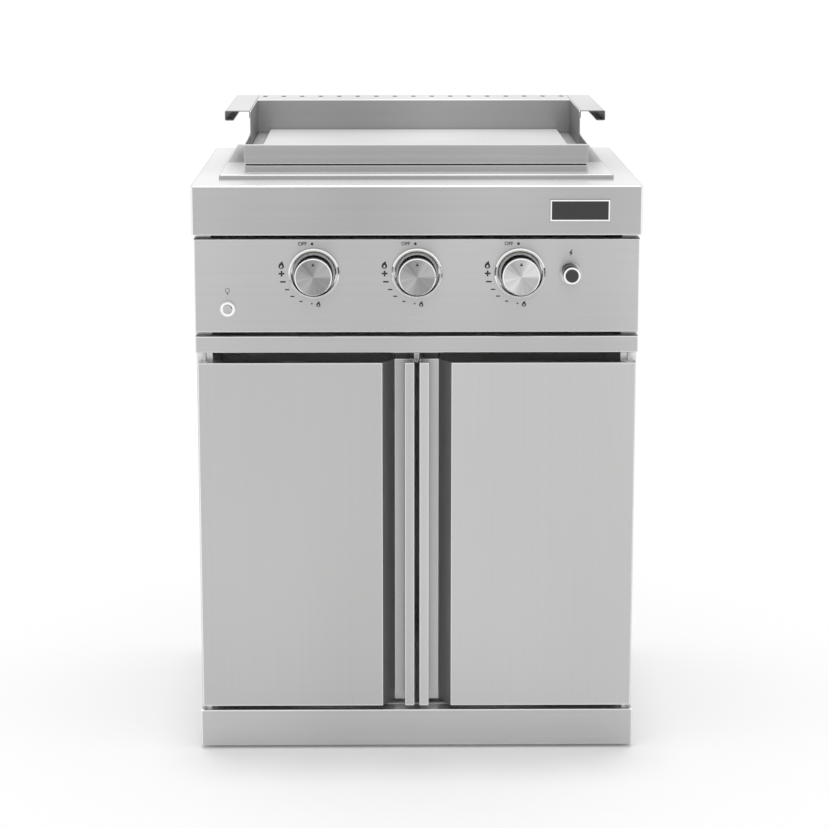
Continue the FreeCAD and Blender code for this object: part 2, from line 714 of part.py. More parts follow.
def make_light_rings():
    """Clear rings on the panel inside the bezels, lit by the lamp switch."""
    outer = BEZEL_BORE - SLIDING
    profile = [(LIGHT_RING_BORE, 0), (LIGHT_RING_BORE, -LIGHT_RING_DEPTH),
               (outer, -LIGHT_RING_DEPTH), (outer, 0)]
    return Part.makeCompound([turned(profile, x, front_y, knob_z) for x in knob_xs])


def d_shaft(radius, flat, x, y0, y1):
    """Round bar along Y with one flat, for a stem or its bore."""
    flat_cut = box(x - 2 * radius, x + 2 * radius, y0, y1, knob_z - 2 * radius, knob_z - flat)
    return rod(radius, y1 - y0, x, y0, knob_z, BACK).cut(flat_cut)


def make_knob(x):
    """Turned knob: tapered grip with a bright chamfer, a hollow back and a boss for the stem."""
    face = front_y - KNOB_REACH
    depth = KNOB_REACH - KNOB_STANDOFF
    narrow = KNOB_RADIUS - KNOB_TAPER
    boss = STEM_RADIUS + KNOB_WALL
    inner = KNOB_RADIUS - KNOB_WALL
    profile = [(0, 0), (narrow - KNOB_CHAMFER, 0), (narrow, KNOB_CHAMFER), (KNOB_RADIUS, depth),
               (inner, depth), (inner - KNOB_TAPER, 2 * KNOB_WALL), (boss, 2 * KNOB_WALL),
               (boss, depth), (0, depth)]
    knob = turned(profile, x, face, knob_z)
    return knob.cut(d_shaft(STEM_RADIUS + RUNNING, STEM_FLAT + RUNNING, x, face + KNOB_WALL, front_y))


def make_stem(x):
    """Flatted stem from the knob into the valve plug."""
    start = front_y - KNOB_REACH + KNOB_WALL
    return d_shaft(STEM_RADIUS, STEM_FLAT, x, start, plug_y + STEM_REACH - KNOB_TRAVEL)


def make_plug(x):
    """Turning plug of the valve, with a flatted bore that the stem slides in."""
    plug = rod(PLUG_RADIUS, PLUG_LENGTH, x, plug_y, knob_z, BACK)
    bore = d_shaft(STEM_RADIUS + RUNNING, STEM_FLAT + RUNNING, x, plug_y, plug_y + STEM_REACH + LOOSE)
    return plug.cut(bore)


def make_valve_body(x):
    """Gas valve on the back of the panel, with a saddle over the manifold and its nozzle pointing back."""
    body = rod(VALVE_RADIUS, valve_back_y - panel_back_y, x, panel_back_y, knob_z, BACK)
    half = VALVE_SADDLE_WIDTH / 2
    saddle = box(x - half, x + half, manifold_y - MANIFOLD_RADIUS, valve_back_y, manifold_z, knob_z)
    nozzle = rod(NOZZLE_RADIUS, NOZZLE_LENGTH, x, valve_back_y, knob_z, BACK)
    collar = rod(2 * NOZZLE_RADIUS, NOZZLE_COLLAR, x, valve_back_y, knob_z, BACK)
    bore = rod(PLUG_RADIUS + RUNNING, PLUG_INSET + PLUG_LENGTH + SLIDING, x, panel_back_y, knob_z, BACK)
    pipe = rod(MANIFOLD_RADIUS + RUNNING, 2 * VALVE_SADDLE_WIDTH, x - VALVE_SADDLE_WIDTH, manifold_y,
               manifold_z, RIGHT)
    return join(body, saddle, nozzle, collar).cut([bore, pipe])


def make_manifold():
    """Gas pipe along the valves, plugged at the left, with a pipe back to an inlet at the rear."""
    start = knob_xs[0] - MANIFOLD_OVERHANG
    end = knob_xs[-1] + MANIFOLD_OVERHANG
    z = manifold_z
    pipe = rod(MANIFOLD_RADIUS, end - start, start, manifold_y, z, RIGHT)
    hexes = [hexagon(INLET_HEX_RADIUS, INLET_HEX_LENGTH, end, manifold_y, z, RIGHT),
             hexagon(INLET_HEX_RADIUS, INLET_HEX_LENGTH, start - INLET_HEX_LENGTH, manifold_y, z, RIGHT),
             hexagon(INLET_HEX_RADIUS, INLET_HEX_LENGTH, supply_x, back_y, z, BACK)]
    bend_x = supply_x - SUPPLY_BEND
    bend_y = manifold_y + SUPPLY_BEND
    across = rod(SUPPLY_RADIUS, bend_x - end, end, manifold_y, z, RIGHT)
    ring = Part.Wire(Part.makeCircle(SUPPLY_RADIUS, V(bend_x, manifold_y, z), RIGHT))
    elbow = Part.Face(ring).revolve(V(bend_x, bend_y, z), UP, 90)
    supply = rod(SUPPLY_RADIUS, back_y - bend_y, supply_x, bend_y, z, BACK)
    thread = rod(INLET_RADIUS, INLET_LENGTH, supply_x, back_y + INLET_HEX_LENGTH, z, BACK)
    return join(pipe, across, elbow, supply, thread, *hexes)


def switch_housing(x, z, base, base_depth, barrel, reach, button, rear, rear_length):
    """Round panel switch: flange, front barrel, threaded rear barrel and nut, bored for its button."""
    nut_y = FRONT_SHEET
    profile = [(button, -reach), (barrel, -reach), (barrel, -base_depth), (base, -base_depth), (base, 0),
               (rear, 0), (rear, nut_y), (base, nut_y), (base, nut_y + SWITCH_NUT),
               (rear, nut_y + SWITCH_NUT), (rear, rear_length), (0, rear_length),
               (0, rear_length - SWITCH_NUT),
               (button, rear_length - SWITCH_NUT)]
    return turned(profile, x, front_y, z)


def switch_button(x, z, radius, reach, proud, length, travel):
    """Push button with a domed rim, on a stem that ends clear of the back of its housing."""
    face = -reach - proud
    rim = BUTTON_EDGE
    stem = radius / 2
    tail = length - SWITCH_NUT - travel - SLIDING
    profile = [(0, face), (radius - rim, face), (radius, face + rim), (radius, -BUTTON_EDGE),
               (stem, -BUTTON_EDGE), (stem, tail), (0, tail)]
    return turned(profile, x, front_y, z)


def make_igniter_housing():
    """Chrome igniter collar and the battery barrel behind the panel."""
    return switch_housing(igniter_x, knob_z, IGNITER_BASE_RADIUS, IGNITER_BASE_DEPTH,
                          IGNITER_RADIUS, IGNITER_REACH, IGNITER_BUTTON_RADIUS + SLIDING,
                          IGNITER_BARREL_RADIUS, IGNITER_BARREL_LENGTH)


def make_igniter_button():
    """Igniter push button."""
    return switch_button(igniter_x, knob_z, IGNITER_BUTTON_RADIUS, IGNITER_REACH, IGNITER_BUTTON_PROUD,
                         IGNITER_BARREL_LENGTH, IGNITER_TRAVEL)


def make_lamp_housing():
    """Low ring and rear barrel of the lamp switch."""
    return switch_housing(lamp_x, lamp_z, LAMP_RADIUS, LAMP_REACH / 2,
                          (LAMP_RADIUS + LAMP_BARREL_RADIUS) / 2, LAMP_REACH,
                          LAMP_BUTTON_RADIUS + SLIDING, LAMP_BARREL_RADIUS, LAMP_BARREL_LENGTH)


def make_lamp_button():
    """Lamp switch push button."""
    return switch_button(lamp_x, lamp_z, LAMP_BUTTON_RADIUS, LAMP_REACH, LAMP_BUTTON_PROUD,
                         LAMP_BARREL_LENGTH, LAMP_TRAVEL)


def make_badge():
    """Bare plate on the apron."""
    middle = apron_bottom + APRON_HEIGHT / 2
    end = TOP_WIDTH / 2 - BADGE_INSET
    plate = box(end - BADGE_WIDTH, end, apron_y - BADGE_SHEET, apron_y,
                middle - BADGE_HEIGHT / 2, middle + BADGE_HEIGHT / 2)
    return round_edges(plate, BADGE_EDGE, lambda b: flat_at(b.YMin, b.YMax, apron_y - BADGE_SHEET))


def make_hob_frame():
    """Turned-down frame on the worktop that the burner box hangs in."""
    x = HOB_WIDTH / 2
    y0 = apron_y + HOB_FRONT
    y1 = y0 + HOB_DEPTH
    outer = rounded_block(-x, x, y0, y1, worktop_z, rim_bottom, HOB_RADIUS, HOB_RADIUS, rim_bottom)
    core = box(-x + TOP_SHEET, x - TOP_SHEET, y0 + TOP_SHEET, y1 - TOP_SHEET,
               worktop_z, rim_bottom - TOP_SHEET)
    mouth = box(-box_x - BOX_CLEARANCE, box_x + BOX_CLEARANCE, box_y0 - BOX_CLEARANCE, box_y1 + BOX_CLEARANCE,
                worktop_z, rim_bottom)
    return outer.cut([core, mouth])


def make_burner_box():
    """Fire box with a turned-over rim, holes for the burners and an open drain in its floor."""
    t = BODY_SHEET
    well = box(-box_x, box_x, box_y0, box_y1, box_z, rim_top)
    rim = rounded_block(-rim_x, rim_x, rim_y0, rim_y1, rim_bottom, rim_top, GRIDDLE_RADIUS, t, rim_top)
    rim_core = box(-rim_x + t, rim_x - t, rim_y0 + t, rim_y1 - t, rim_bottom, rim_top - t)
    core = box(-box_x + t, box_x - t, box_y0 + t, box_y1 - t, box_z + t, rim_top)
    drain = box(-drip_x + BOX_FLOOR_LIP, drip_x - BOX_FLOOR_LIP, drip_y0 + DRIP_RIM, box_y1 - BOX_FLOOR_LIP,
                box_z, box_z + t)
    holes = [rod(VENTURI_RADIUS + SLIDING, t, x, box_y0, knob_z, BACK) for x in knob_xs]
    return join(well, rim.cut(rim_core)).cut([core, drain] + holes)


def make_burner(x):
    """Tube burner: open venturi, a double bend up from the valve and a closed tube with ports."""
    mouth_y = valve_back_y + NOZZLE_LENGTH / 2
    bend_y = box_y0 + VENTURI_RADIUS
    angle = math.radians(VENTURI_BEND_ANGLE)
    radius = BURNER_RISE / (2 * (1 - math.cos(angle)))
    reach = radius * math.sin(angle)
    half = angle / 2
    knee = V(x, bend_y + reach, knob_z + BURNER_RISE / 2)
    level_y = bend_y + 2 * reach
    level_z = knob_z + BURNER_RISE
    low_mid = V(x, bend_y + radius * math.sin(half), knob_z + radius * (1 - math.cos(half)))
    high_mid = V(x, level_y - radius * math.sin(half), level_z - radius * (1 - math.cos(half)))
    start = V(x, mouth_y, knob_z)
    path = Part.Wire([
        Part.LineSegment(start, V(x, bend_y, knob_z)).toShape(),
        Part.Arc(V(x, bend_y, knob_z), low_mid, knee).toShape(),
        Part.Arc(knee, high_mid, V(x, level_y, level_z)).toShape(),
    ])
    section = Part.Wire(Part.makeCircle(VENTURI_RADIUS, start, BACK))
    venturi = path.makePipeShell([section], True, False)
    end_y = box_y1 - BURNER_END_GAP
    tube = turned([(0, 0), (VENTURI_RADIUS, 0), (BURNER_RADIUS, BURNER_CONE),
                   (BURNER_RADIUS, end_y - level_y), (0, end_y - level_y)], x, level_y, level_z)
    bore = rod(VENTURI_RADIUS - VENTURI_WALL, VENTURI_DEPTH, x, mouth_y, knob_z, BACK)
    crown = level_z + BURNER_RADIUS
    first = (level_y + BURNER_CONE + end_y - PORT_WIDTH - (PORT_COUNT - 1) * PORT_PITCH) / 2
    ports = [box(x - BURNER_RADIUS, x + BURNER_RADIUS, y, y + PORT_WIDTH, crown - PORT_DEPTH, crown)
             for y in (first + i * PORT_PITCH for i in range(PORT_COUNT))]
    return join(venturi, tube).cut([bore] + ports)


def make_burner_rest():
    """Angle across the fire box that the burners' far ends lie on."""
    y = box_y1 - BURNER_END_GAP - BURNER_REST_WIDTH
    top = knob_z + BURNER_RISE - BURNER_RADIUS
    x = box_x - BODY_SHEET
    flat = box(-x, x, y, y + BURNER_REST_WIDTH, top - BURNER_REST_SHEET, top)
    web = box(-x, x, y, y + BURNER_REST_SHEET, top - BURNER_REST_WIDTH, top)
    return join(flat, web)


def make_electrodes():
    """Spark rods that stand beside the burners on clips round their tubes."""
    solids = []
    y = box_y1 - BURNER_END_GAP - 4 * BURNER_REST_WIDTH
    z = knob_z + BURNER_RISE
    for x in knob_xs:
        clip = rod(BURNER_RADIUS + BURNER_REST_SHEET, BURNER_REST_WIDTH, x, y, z, BACK)
        clip = clip.cut(rod(BURNER_RADIUS + RUNNING, BURNER_REST_WIDTH, x, y, z, BACK))
        offset = BURNER_RADIUS + ELECTRODE_RADIUS + BURNER_REST_SHEET / 2
        spark = rod(ELECTRODE_RADIUS, ELECTRODE_LENGTH, x + offset, y + BURNER_REST_WIDTH / 2,
                    z - ELECTRODE_LENGTH / 2, UP)
        solids.append(join(clip, spark))
    return Part.makeCompound(solids)


def make_griddle_tray():
    """Welded tray with a raised floor, gutters round the plate and a drain spout at the front."""
    s = GRIDDLE_SHEET
    top = griddle_z + GRIDDLE_WALL
    outer = rounded_block(-griddle_x, griddle_x, griddle_y, griddle_back_y, griddle_z, top,
                          GRIDDLE_RADIUS, GRIDDLE_FOOT_RADIUS, griddle_z)
    core = box(-griddle_x + s, griddle_x - s, griddle_y + s, griddle_back_y - s, plate_z, top)
    hollow = box(-griddle_x + s, griddle_x - s, griddle_y + s, griddle_back_y - s, griddle_z, floor_z)
    lip = box(-griddle_x + s, griddle_x - s, griddle_y + s, griddle_y + s + GRIDDLE_LIP, top - s, top)
    drain_y = griddle_y + s + DRAIN_FRONT
    spout_z = griddle_z - DRAIN_LENGTH
    spout = rod(DRAIN_RADIUS + s, plate_z - spout_z, 0, drain_y, spout_z, UP)
    bore = rod(DRAIN_RADIUS, plate_z - spout_z, 0, drain_y, spout_z, UP)
    return join(outer.cut([core, hollow]), lip, spout).cut(bore)


def make_griddle_plate():
    """Thick cooking plate with eased edges."""
    x = PLATE_WIDTH / 2
    y0 = griddle_y + GRIDDLE_SHEET + FRONT_GUTTER
    y1 = griddle_back_y - GRIDDLE_SHEET - PLATE_REAR_GAP
    top = plate_z + PLATE_THICKNESS
    return rounded_block(-x, x, y0, y1, plate_z, top, PLATE_REAR_GAP, GRIDDLE_SHEET, top)


def make_griddle_pads():
    """Rest posts between the tray's floor and the fire box rim."""
    x = rim_x - RIM_WIDTH / 2
    ys = (rim_y0 + GRIDDLE_PAD_INSET, griddle_back_y - GRIDDLE_PAD_INSET)
    places = [(side * x, y) for side in (-1, 1) for y in ys]
    height = floor_z - rim_top
    return Part.makeCompound([rod(GRIDDLE_PAD_RADIUS, height, x, y, rim_top, UP) for x, y in places])


def make_splash_guard():
    """Back wall inside the tray, folded into a perforated ledge with a rear lip, and a wing at each side."""
    s = GRIDDLE_SHEET
    low = griddle_z + GRIDDLE_WALL - GUARD_LAP
    path = [(rear_y, guard_top - LEDGE_LIP), (rear_y, guard_top), (guard_y, guard_top), (guard_y, low)]
    wall = folded_sheet(path, s, BEND, lambda u, v: V(-guard_x, u, v), RIGHT * (2 * guard_x))
    wing = box(guard_x - s, guard_x, wing_y, guard_y + s, low, guard_top)
    wing = round_edges(wing, GUARD_CORNER, lambda b: flat_at(b.YMin, b.YMax, wing_y)
                       and flat_at(b.ZMin, b.ZMax, guard_top))
    holes = []
    for i in range(LEDGE_HOLES):
        x = (i - (LEDGE_HOLES - 1) / 2) * LEDGE_PITCH
        holes.append(rod(LEDGE_HOLE_RADIUS, s, x, rear_y - LEDGE_HOLE_LINE, guard_top - s, UP))
    return join(wall, wing, mirrored(wing)).cut(holes)


def make_grip():
    """Right grip: a flange out from the wing with a down-turned lip and a hem to curl the fingers under."""
    x1 = guard_x + GRIP_WIDTH
    low = guard_top - GRIP_LIP
    path = [(x1 - GRIP_HEM, low), (x1, low), (x1, guard_top), (guard_x, guard_top),
            (guard_x, guard_top - GRIP_WELD)]
    start = wing_y + GUARD_CORNER
    run = rear_y - GRIP_REAR_GAP - start
    return folded_sheet(path, GRIDDLE_SHEET, BEND, lambda u, v: V(u, start, v), BACK * run)


def make_drip_tray():
    """Grease tray with rims that ride in the runners and a finger lip at the back."""
    t = DRIP_SHEET
    low = drip_top - DRIP_HEIGHT
    outer = box(-drip_x, drip_x, drip_y0, drip_y1, low, drip_top)
    core = box(-drip_x + t, drip_x - t, drip_y0 + t, drip_y1 - t, low + t, drip_top)
    rims = [box(x0, x1, drip_y0, drip_y1, drip_top - t, drip_top)
            for x0, x1 in ((-drip_rim_x, -drip_x), (drip_x, drip_rim_x))]
    path = [(drip_y1 + DRIP_LIP, drip_top - DRIP_LIP), (drip_y1 + DRIP_LIP, drip_top), (drip_y1, drip_top)]
    lip = folded_sheet(path, t, BEND, lambda u, v: V(-drip_x, u, v), RIGHT * DRIP_WIDTH)
    return join(outer.cut(core), lip, *rims)


def make_runner():
    """Right runner: a channel under the fire box whose lower lip carries the tray's rim."""
    t = RUNNER_SHEET
    web = drip_rim_x + LOOSE + t
    shelf = drip_top - DRIP_SHEET
    path = [(drip_x + LOOSE, shelf - t), (web, shelf - t), (web, box_z), (drip_x + LOOSE, box_z)]
    run = flange_back_y - LOOSE - drip_y0
    return folded_sheet(path, t, BEND, lambda u, v: V(u, drip_y0, v), BACK * run)


def main():
    """Build every piece and write one file for each."""
    side = make_side_panel()
    skin = make_door_skin()
    liner = make_door_liner()
    bushes = make_door_bushes()
    strike = make_door_strike()
    grip = make_grip()
    runner = make_runner()
    rail_y0 = body_y + BODY_SHEET + BEND
    rail_y1 = flange_back_y - BODY_SHEET - BEND - RAIL_DEPTH
    parts = {
        "worktop": make_worktop(),
        "left_side_panel": mirrored(side),
        "right_side_panel": side,
        "back_panel": make_back_panel(),
        "back_screws": make_back_screws(),
        "cabinet_floor": make_cabinet_floor(),
        "worktop_front_rail": make_cross_rail(rail_y0, 1),
        "worktop_rear_rail": make_cross_rail(rail_y1, -1),
        "plinth": make_plinth(),
        "cabinet_front_rail": make_front_rail(),
        "control_panel": make_control_panel(),
        "levelling_feet": make_levelling_feet(),
        "foot_brackets": make_foot_brackets(),
        "foot_nuts": make_foot_nuts(),
        "hinge_pins": make_hinge_pins(),
        "catch_bracket": make_catch_bracket(),
        "door_magnets": make_door_magnets(),
        "left_door_skin": mirrored(skin),
        "right_door_skin": skin,
        "left_door_liner": mirrored(liner),
        "right_door_liner": liner,
        "left_door_bushes": mirrored(bushes),
        "right_door_bushes": bushes,
        "left_door_strike": mirrored(strike),
        "right_door_strike": strike,
        "knob_bezels": make_bezels(),
        "knob_light_rings": make_light_rings(),
        "gas_manifold": make_manifold(),
        "igniter_housing": make_igniter_housing(),
        "igniter_button": make_igniter_button(),
        "lamp_switch_housing": make_lamp_housing(),
        "lamp_switch_button": make_lamp_button(),
        "badge_plate": make_badge(),
        "hob_frame": make_hob_frame(),
        "burner_box": make_burner_box(),
        "burner_rest": make_burner_rest(),
        "igniter_electrodes": make_electrodes(),
        "griddle_tray": make_griddle_tray(),
        "griddle_plate": make_griddle_plate(),
        "griddle_pads": make_griddle_pads(),
        "splash_guard": make_splash_guard(),
        "left_grip": mirrored(grip),
        "right_grip": grip,
        "drip_tray": make_drip_tray(),
        "tray_runners": Part.makeCompound([runner, mirrored(runner)]),
    }
    for number, x in enumerate(knob_xs, start=1):
        parts[f"knob_{number}"] = make_knob(x)
        parts[f"valve_stem_{number}"] = make_stem(x)
        parts[f"valve_plug_{number}"] = make_plug(x)
        parts[f"valve_body_{number}"] = make_valve_body(x)
        parts[f"burner_{number}"] = make_burner(x)
    os.makedirs("parts", exist_ok=True)
    for name, shape in parts.items():
        shape.exportStep(f"parts/{name}.step")


main()
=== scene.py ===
"""Looks of the outdoor kitchen: finishes, dial markings, floor, light and camera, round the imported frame."""
import bpy
import math
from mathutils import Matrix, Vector


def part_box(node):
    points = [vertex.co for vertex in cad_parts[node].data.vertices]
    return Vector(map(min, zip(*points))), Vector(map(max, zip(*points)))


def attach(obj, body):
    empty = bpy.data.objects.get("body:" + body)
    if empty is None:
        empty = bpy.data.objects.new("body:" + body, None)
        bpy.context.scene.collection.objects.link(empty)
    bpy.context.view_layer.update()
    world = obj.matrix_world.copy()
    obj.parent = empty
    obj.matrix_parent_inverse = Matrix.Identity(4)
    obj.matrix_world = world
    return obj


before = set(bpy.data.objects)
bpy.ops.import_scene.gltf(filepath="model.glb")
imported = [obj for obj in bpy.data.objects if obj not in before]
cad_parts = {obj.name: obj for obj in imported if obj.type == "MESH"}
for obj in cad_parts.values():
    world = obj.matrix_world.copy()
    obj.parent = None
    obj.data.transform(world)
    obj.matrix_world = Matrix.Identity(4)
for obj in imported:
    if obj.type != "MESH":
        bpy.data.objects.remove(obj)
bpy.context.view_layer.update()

MM = 0.001
IMAGE_PX = 828
SENSOR_MM = 36.0
RIGHT_ANGLE_DEG = 90.0
WHITE = (1.0, 1.0, 1.0, 1.0)

# Camera
FOCAL_PX = 2489.0
PITCH_DEG = 11.02
HEADING_DEG = -0.59
CAMERA_PLACE = (-0.044, -4.102, 1.348)
CAMERA_SHIFT_Y = -0.04

# Floor and light
FLOOR_SIZE = 60.0
FLOOR_COLOUR = (0.94, 0.94, 0.94)
FLOOR_LIFT = 0.06
WORLD_DIFFUSE = 0.86
SUN_STRENGTH = 0.6
SUN_ANGLE_DEG = 10.0
SUN_TILT_DEG = (-6.0, 0.0, 0.0)

# Printed marks stand this far off the sheet
PRINT_LIFT = 0.12 * MM
PRINT_GAP = 0.02 * MM
BOLD = 0.18 * MM
CAPITAL_SHARE = 0.7

# Noise lies between these values nearly everywhere
NOISE_LOW = 0.3
NOISE_HIGH = 0.7

# Depth of the finest relief
SHEET_RELIEF = 0.2 * MM
MOULD_RELIEF = 0.1 * MM


def new_material(name):
    """A new material, its node tree and its Principled shader."""
    made = bpy.data.materials.new(name)
    made.use_nodes = True
    shader = made.node_tree.nodes["Principled BSDF"]
    return made, made.node_tree, shader


def grain_noise(tree, scale, detail, offset=(0.0, 0.0, 0.0)):
    """Noise in the object's own metres, drawn out along the axes with the lower scale."""
    place = tree.nodes.new("ShaderNodeTexCoord")
    mapping = tree.nodes.new("ShaderNodeMapping")
    mapping.inputs["Scale"].default_value = scale
    mapping.inputs["Location"].default_value = offset
    noise = tree.nodes.new("ShaderNodeTexNoise")
    noise.inputs["Scale"].default_value = 1.0
    noise.inputs["Detail"].default_value = detail
    tree.links.new(place.outputs["Object"], mapping.inputs["Vector"])
    tree.links.new(mapping.outputs["Vector"], noise.inputs["Vector"])
    return noise.outputs["Fac"]


def spread(tree, value, low, high):
    """Noise value spread over a range."""
    node = tree.nodes.new("ShaderNodeMapRange")
    node.inputs["From Min"].default_value = NOISE_LOW
    node.inputs["From Max"].default_value = NOISE_HIGH
    node.inputs["To Min"].default_value = low
    node.inputs["To Max"].default_value = high
    tree.links.new(value, node.inputs["Value"])
    return node.outputs["Result"]


def tint(tree, value, dark, light):
    """Colour between two tints."""
    ramp = tree.nodes.new("ShaderNodeValToRGB")
    ramp.color_ramp.elements[0].position = NOISE_LOW
    ramp.color_ramp.elements[0].color = (*dark, 1.0)
    ramp.color_ramp.elements[1].position = NOISE_HIGH
    ramp.color_ramp.elements[1].color = (*light, 1.0)
    tree.links.new(value, ramp.inputs["Fac"])
    return ramp.outputs["Color"]


def average(tree, first, second, share):
    """Mix of two values."""
    node = tree.nodes.new("ShaderNodeMix")
    node.data_type = "FLOAT"
    node.inputs["Factor"].default_value = share
    tree.links.new(first, node.inputs["A"])
    tree.links.new(second, node.inputs["B"])
    return node.outputs["Result"]


def scaled(tree, colour, factor):
    """Colour times a value."""
    node = tree.nodes.new("ShaderNodeVectorMath")
    node.operation = "SCALE"
    tree.links.new(colour, node.inputs[0])
    tree.links.new(factor, node.inputs["Scale"])
    return node.outputs["Vector"]


def add_bump(tree, shader, height, strength, distance):
    """Fine relief on a shader."""
    bump = tree.nodes.new("ShaderNodeBump")
    bump.inputs["Strength"].default_value = strength
    bump.inputs["Distance"].default_value = distance
    tree.links.new(height, bump.inputs["Height"])
    tree.links.new(bump.outputs["Normal"], shader.inputs["Normal"])


def shade(colour, factor):
    """Colour made lighter or darker."""
    return tuple(min(1.0, c * factor) for c in colour)


GRAIN = {
    "x": (6.0, 1400.0, 1400.0),
    "y": (1400.0, 6.0, 1400.0),
    "z": (1400.0, 1400.0, 6.0),
}
STREAK = {
    "x": (1.2, 160.0, 160.0),
    "y": (160.0, 1.2, 160.0),
    "z": (160.0, 160.0, 1.2),
}
ACROSS_GRAIN = {
    "x": (0.0, 1.0, 1.0),
    "y": (1.0, 0.0, 1.0),
    "z": (1.0, 1.0, 0.0),
}
# Painted highlight along edges: its width, its colour and how many samples find the edges
EDGE_WIDTH = 3.6 * MM
EDGE_HIGHLIGHT = (0.82, 0.82, 0.82)
EDGE_SAMPLES = 8
# How far the rounded normal agrees with the flat one where an edge starts to show and where it shows in full
EDGE_START = 0.985
EDGE_FULL = 0.86


def edge_mask(tree, width):
    """One along folded and cut edges, nought on the flats between them."""
    bevel = tree.nodes.new("ShaderNodeBevel")
    bevel.samples = EDGE_SAMPLES
    bevel.inputs["Radius"].default_value = width
    surface = tree.nodes.new("ShaderNodeNewGeometry")
    match = tree.nodes.new("ShaderNodeVectorMath")
    match.operation = "DOT_PRODUCT"
    mask = tree.nodes.new("ShaderNodeMapRange")
    mask.inputs["From Min"].default_value = EDGE_START
    mask.inputs["From Max"].default_value = EDGE_FULL
    tree.links.new(bevel.outputs["Normal"], match.inputs[0])
    tree.links.new(surface.outputs["True Normal"], match.inputs[1])
    tree.links.new(match.outputs["Value"], mask.inputs["Value"])
    return mask.outputs["Result"]


def paint_edge_highlight(tree, colour, width=EDGE_WIDTH, bright=EDGE_HIGHLIGHT):
    """Painted highlight: colour made bright along the edges."""
    mix = tree.nodes.new("ShaderNodeMix")
    mix.data_type = "RGBA"
    tree.links.new(edge_mask(tree, width), mix.inputs["Factor"])
    tree.links.new(colour, mix.inputs[6])
    mix.inputs[7].default_value = (*bright, 1.0)
    return mix.outputs[2]


# Brushed sheet
FINE_DETAIL = 3.0
STREAK_DETAIL = 4.0
STREAK_OFFSET = (0.3, 0.7, 0.2)
STREAK_SHARE = 0.4
# Painted soft reflections: broad clouds that make the sheet lighter and darker
CLOUD_SCALE = (3.2, 2.0, 1.1)
CLOUD_DETAIL = 1.0
CLOUD_OFFSET = (1.7, 0.4, 0.9)
BRUSH_ANISOTROPY = 0.7
SHEET_ROUGH = (0.3, 0.42)

# Wiped and polished metal
SMEAR_SCALE = (90.0, 90.0, 90.0)
SMEAR_DETAIL = 5.0
SMEAR_TINTS = (0.94, 1.04)
SMEAR_BUMP = 0.02
POLISHED_ROUGH = (0.06, 0.14)
# Width and colour of the painted highlight along polished edges
POLISHED_RIM = 1.0 * MM
RIM_HIGHLIGHT = (0.95, 0.95, 0.95)
BAND_ROUGH = (0.12, 0.24)

# Spun knob faces
FAN_COUNT = 2.0
FAN_PHASE = 0.5
FAN_SWING = 0.2
FAN_MIDDLE = 0.5
FAN_TINTS = (0.6, 1.34)
RAY_SCALE = 1.6
RAY_DETAIL = 5.0
RAY_SHARE = 0.5
SPUN_ROUGH = (0.34, 0.2)
SPUN_ANISOTROPY = 0.6
SPUN_BUMP = 0.06

# Moulded pieces
MOULD_DETAIL = 3.0
MOULD_CLOUD = (25.0, 25.0, 25.0)
MOULD_CLOUD_OFFSET = (0.4, 0.1, 0.6)
MOULD_CLOUD_SHARE = 0.5
MOULD_TINTS = (0.85, 1.15)
MOULD_ROUGH = (0.35, 0.5)


def brushed_metal(name, colour, grain, rough=SHEET_ROUGH, contrast=0.05, bump=0.04, reflection_sweep=0.1, edge_highlit=True):
    """Sheet with a brushed grain along one axis, broader streaks, painted soft reflections in broad clouds and
    a painted highlight along its edges.
    """
    made, tree, shader = new_material(name)
    fine = grain_noise(tree, GRAIN[grain], FINE_DETAIL)
    streak = grain_noise(tree, STREAK[grain], STREAK_DETAIL, STREAK_OFFSET)
    cloud = grain_noise(tree, CLOUD_SCALE, CLOUD_DETAIL, CLOUD_OFFSET)
    lines = average(tree, fine, streak, STREAK_SHARE)
    link = tree.links.new
    brushed = tint(tree, lines, shade(colour, 1 - contrast), shade(colour, 1 + contrast))
    # Painted soft reflections: the brushed colour scaled up and down by the broad clouds
    surface = scaled(tree, brushed, spread(tree, cloud, 1 - reflection_sweep, 1 + reflection_sweep))
    # Painted highlight along the edges, left off where it is not wanted
    if edge_highlit:
        surface = paint_edge_highlight(tree, surface)
    link(surface, shader.inputs["Base Color"])
    link(spread(tree, lines, *rough), shader.inputs["Roughness"])
    shader.inputs["Metallic"].default_value = 1.0
    shader.inputs["Anisotropic"].default_value = BRUSH_ANISOTROPY
    across = tree.nodes.new("ShaderNodeCombineXYZ")
    for axis, share in zip("XYZ", ACROSS_GRAIN[grain]):
        across.inputs[axis].default_value = share
    link(across.outputs["Vector"], shader.inputs["Tangent"])
    add_bump(tree, shader, lines, bump, SHEET_RELIEF)
    return made


def polished_metal(name, colour, rough=POLISHED_ROUGH, rim=POLISHED_RIM, bright=RIM_HIGHLIGHT):
    """Turned bright metal with faint wipe marks and a painted highlight along its edges."""
    made, tree, shader = new_material(name)
    smear = grain_noise(tree, SMEAR_SCALE, SMEAR_DETAIL)
    link = tree.links.new
    wiped = tint(tree, smear, *[shade(colour, factor) for factor in SMEAR_TINTS])
    edge_highlit = paint_edge_highlight(tree, wiped, rim, bright)
    link(edge_highlit, shader.inputs["Base Color"])
    link(spread(tree, smear, *rough), shader.inputs["Roughness"])
    shader.inputs["Metallic"].default_value = 1.0
    add_bump(tree, shader, smear, SMEAR_BUMP, SHEET_RELIEF)
    return made


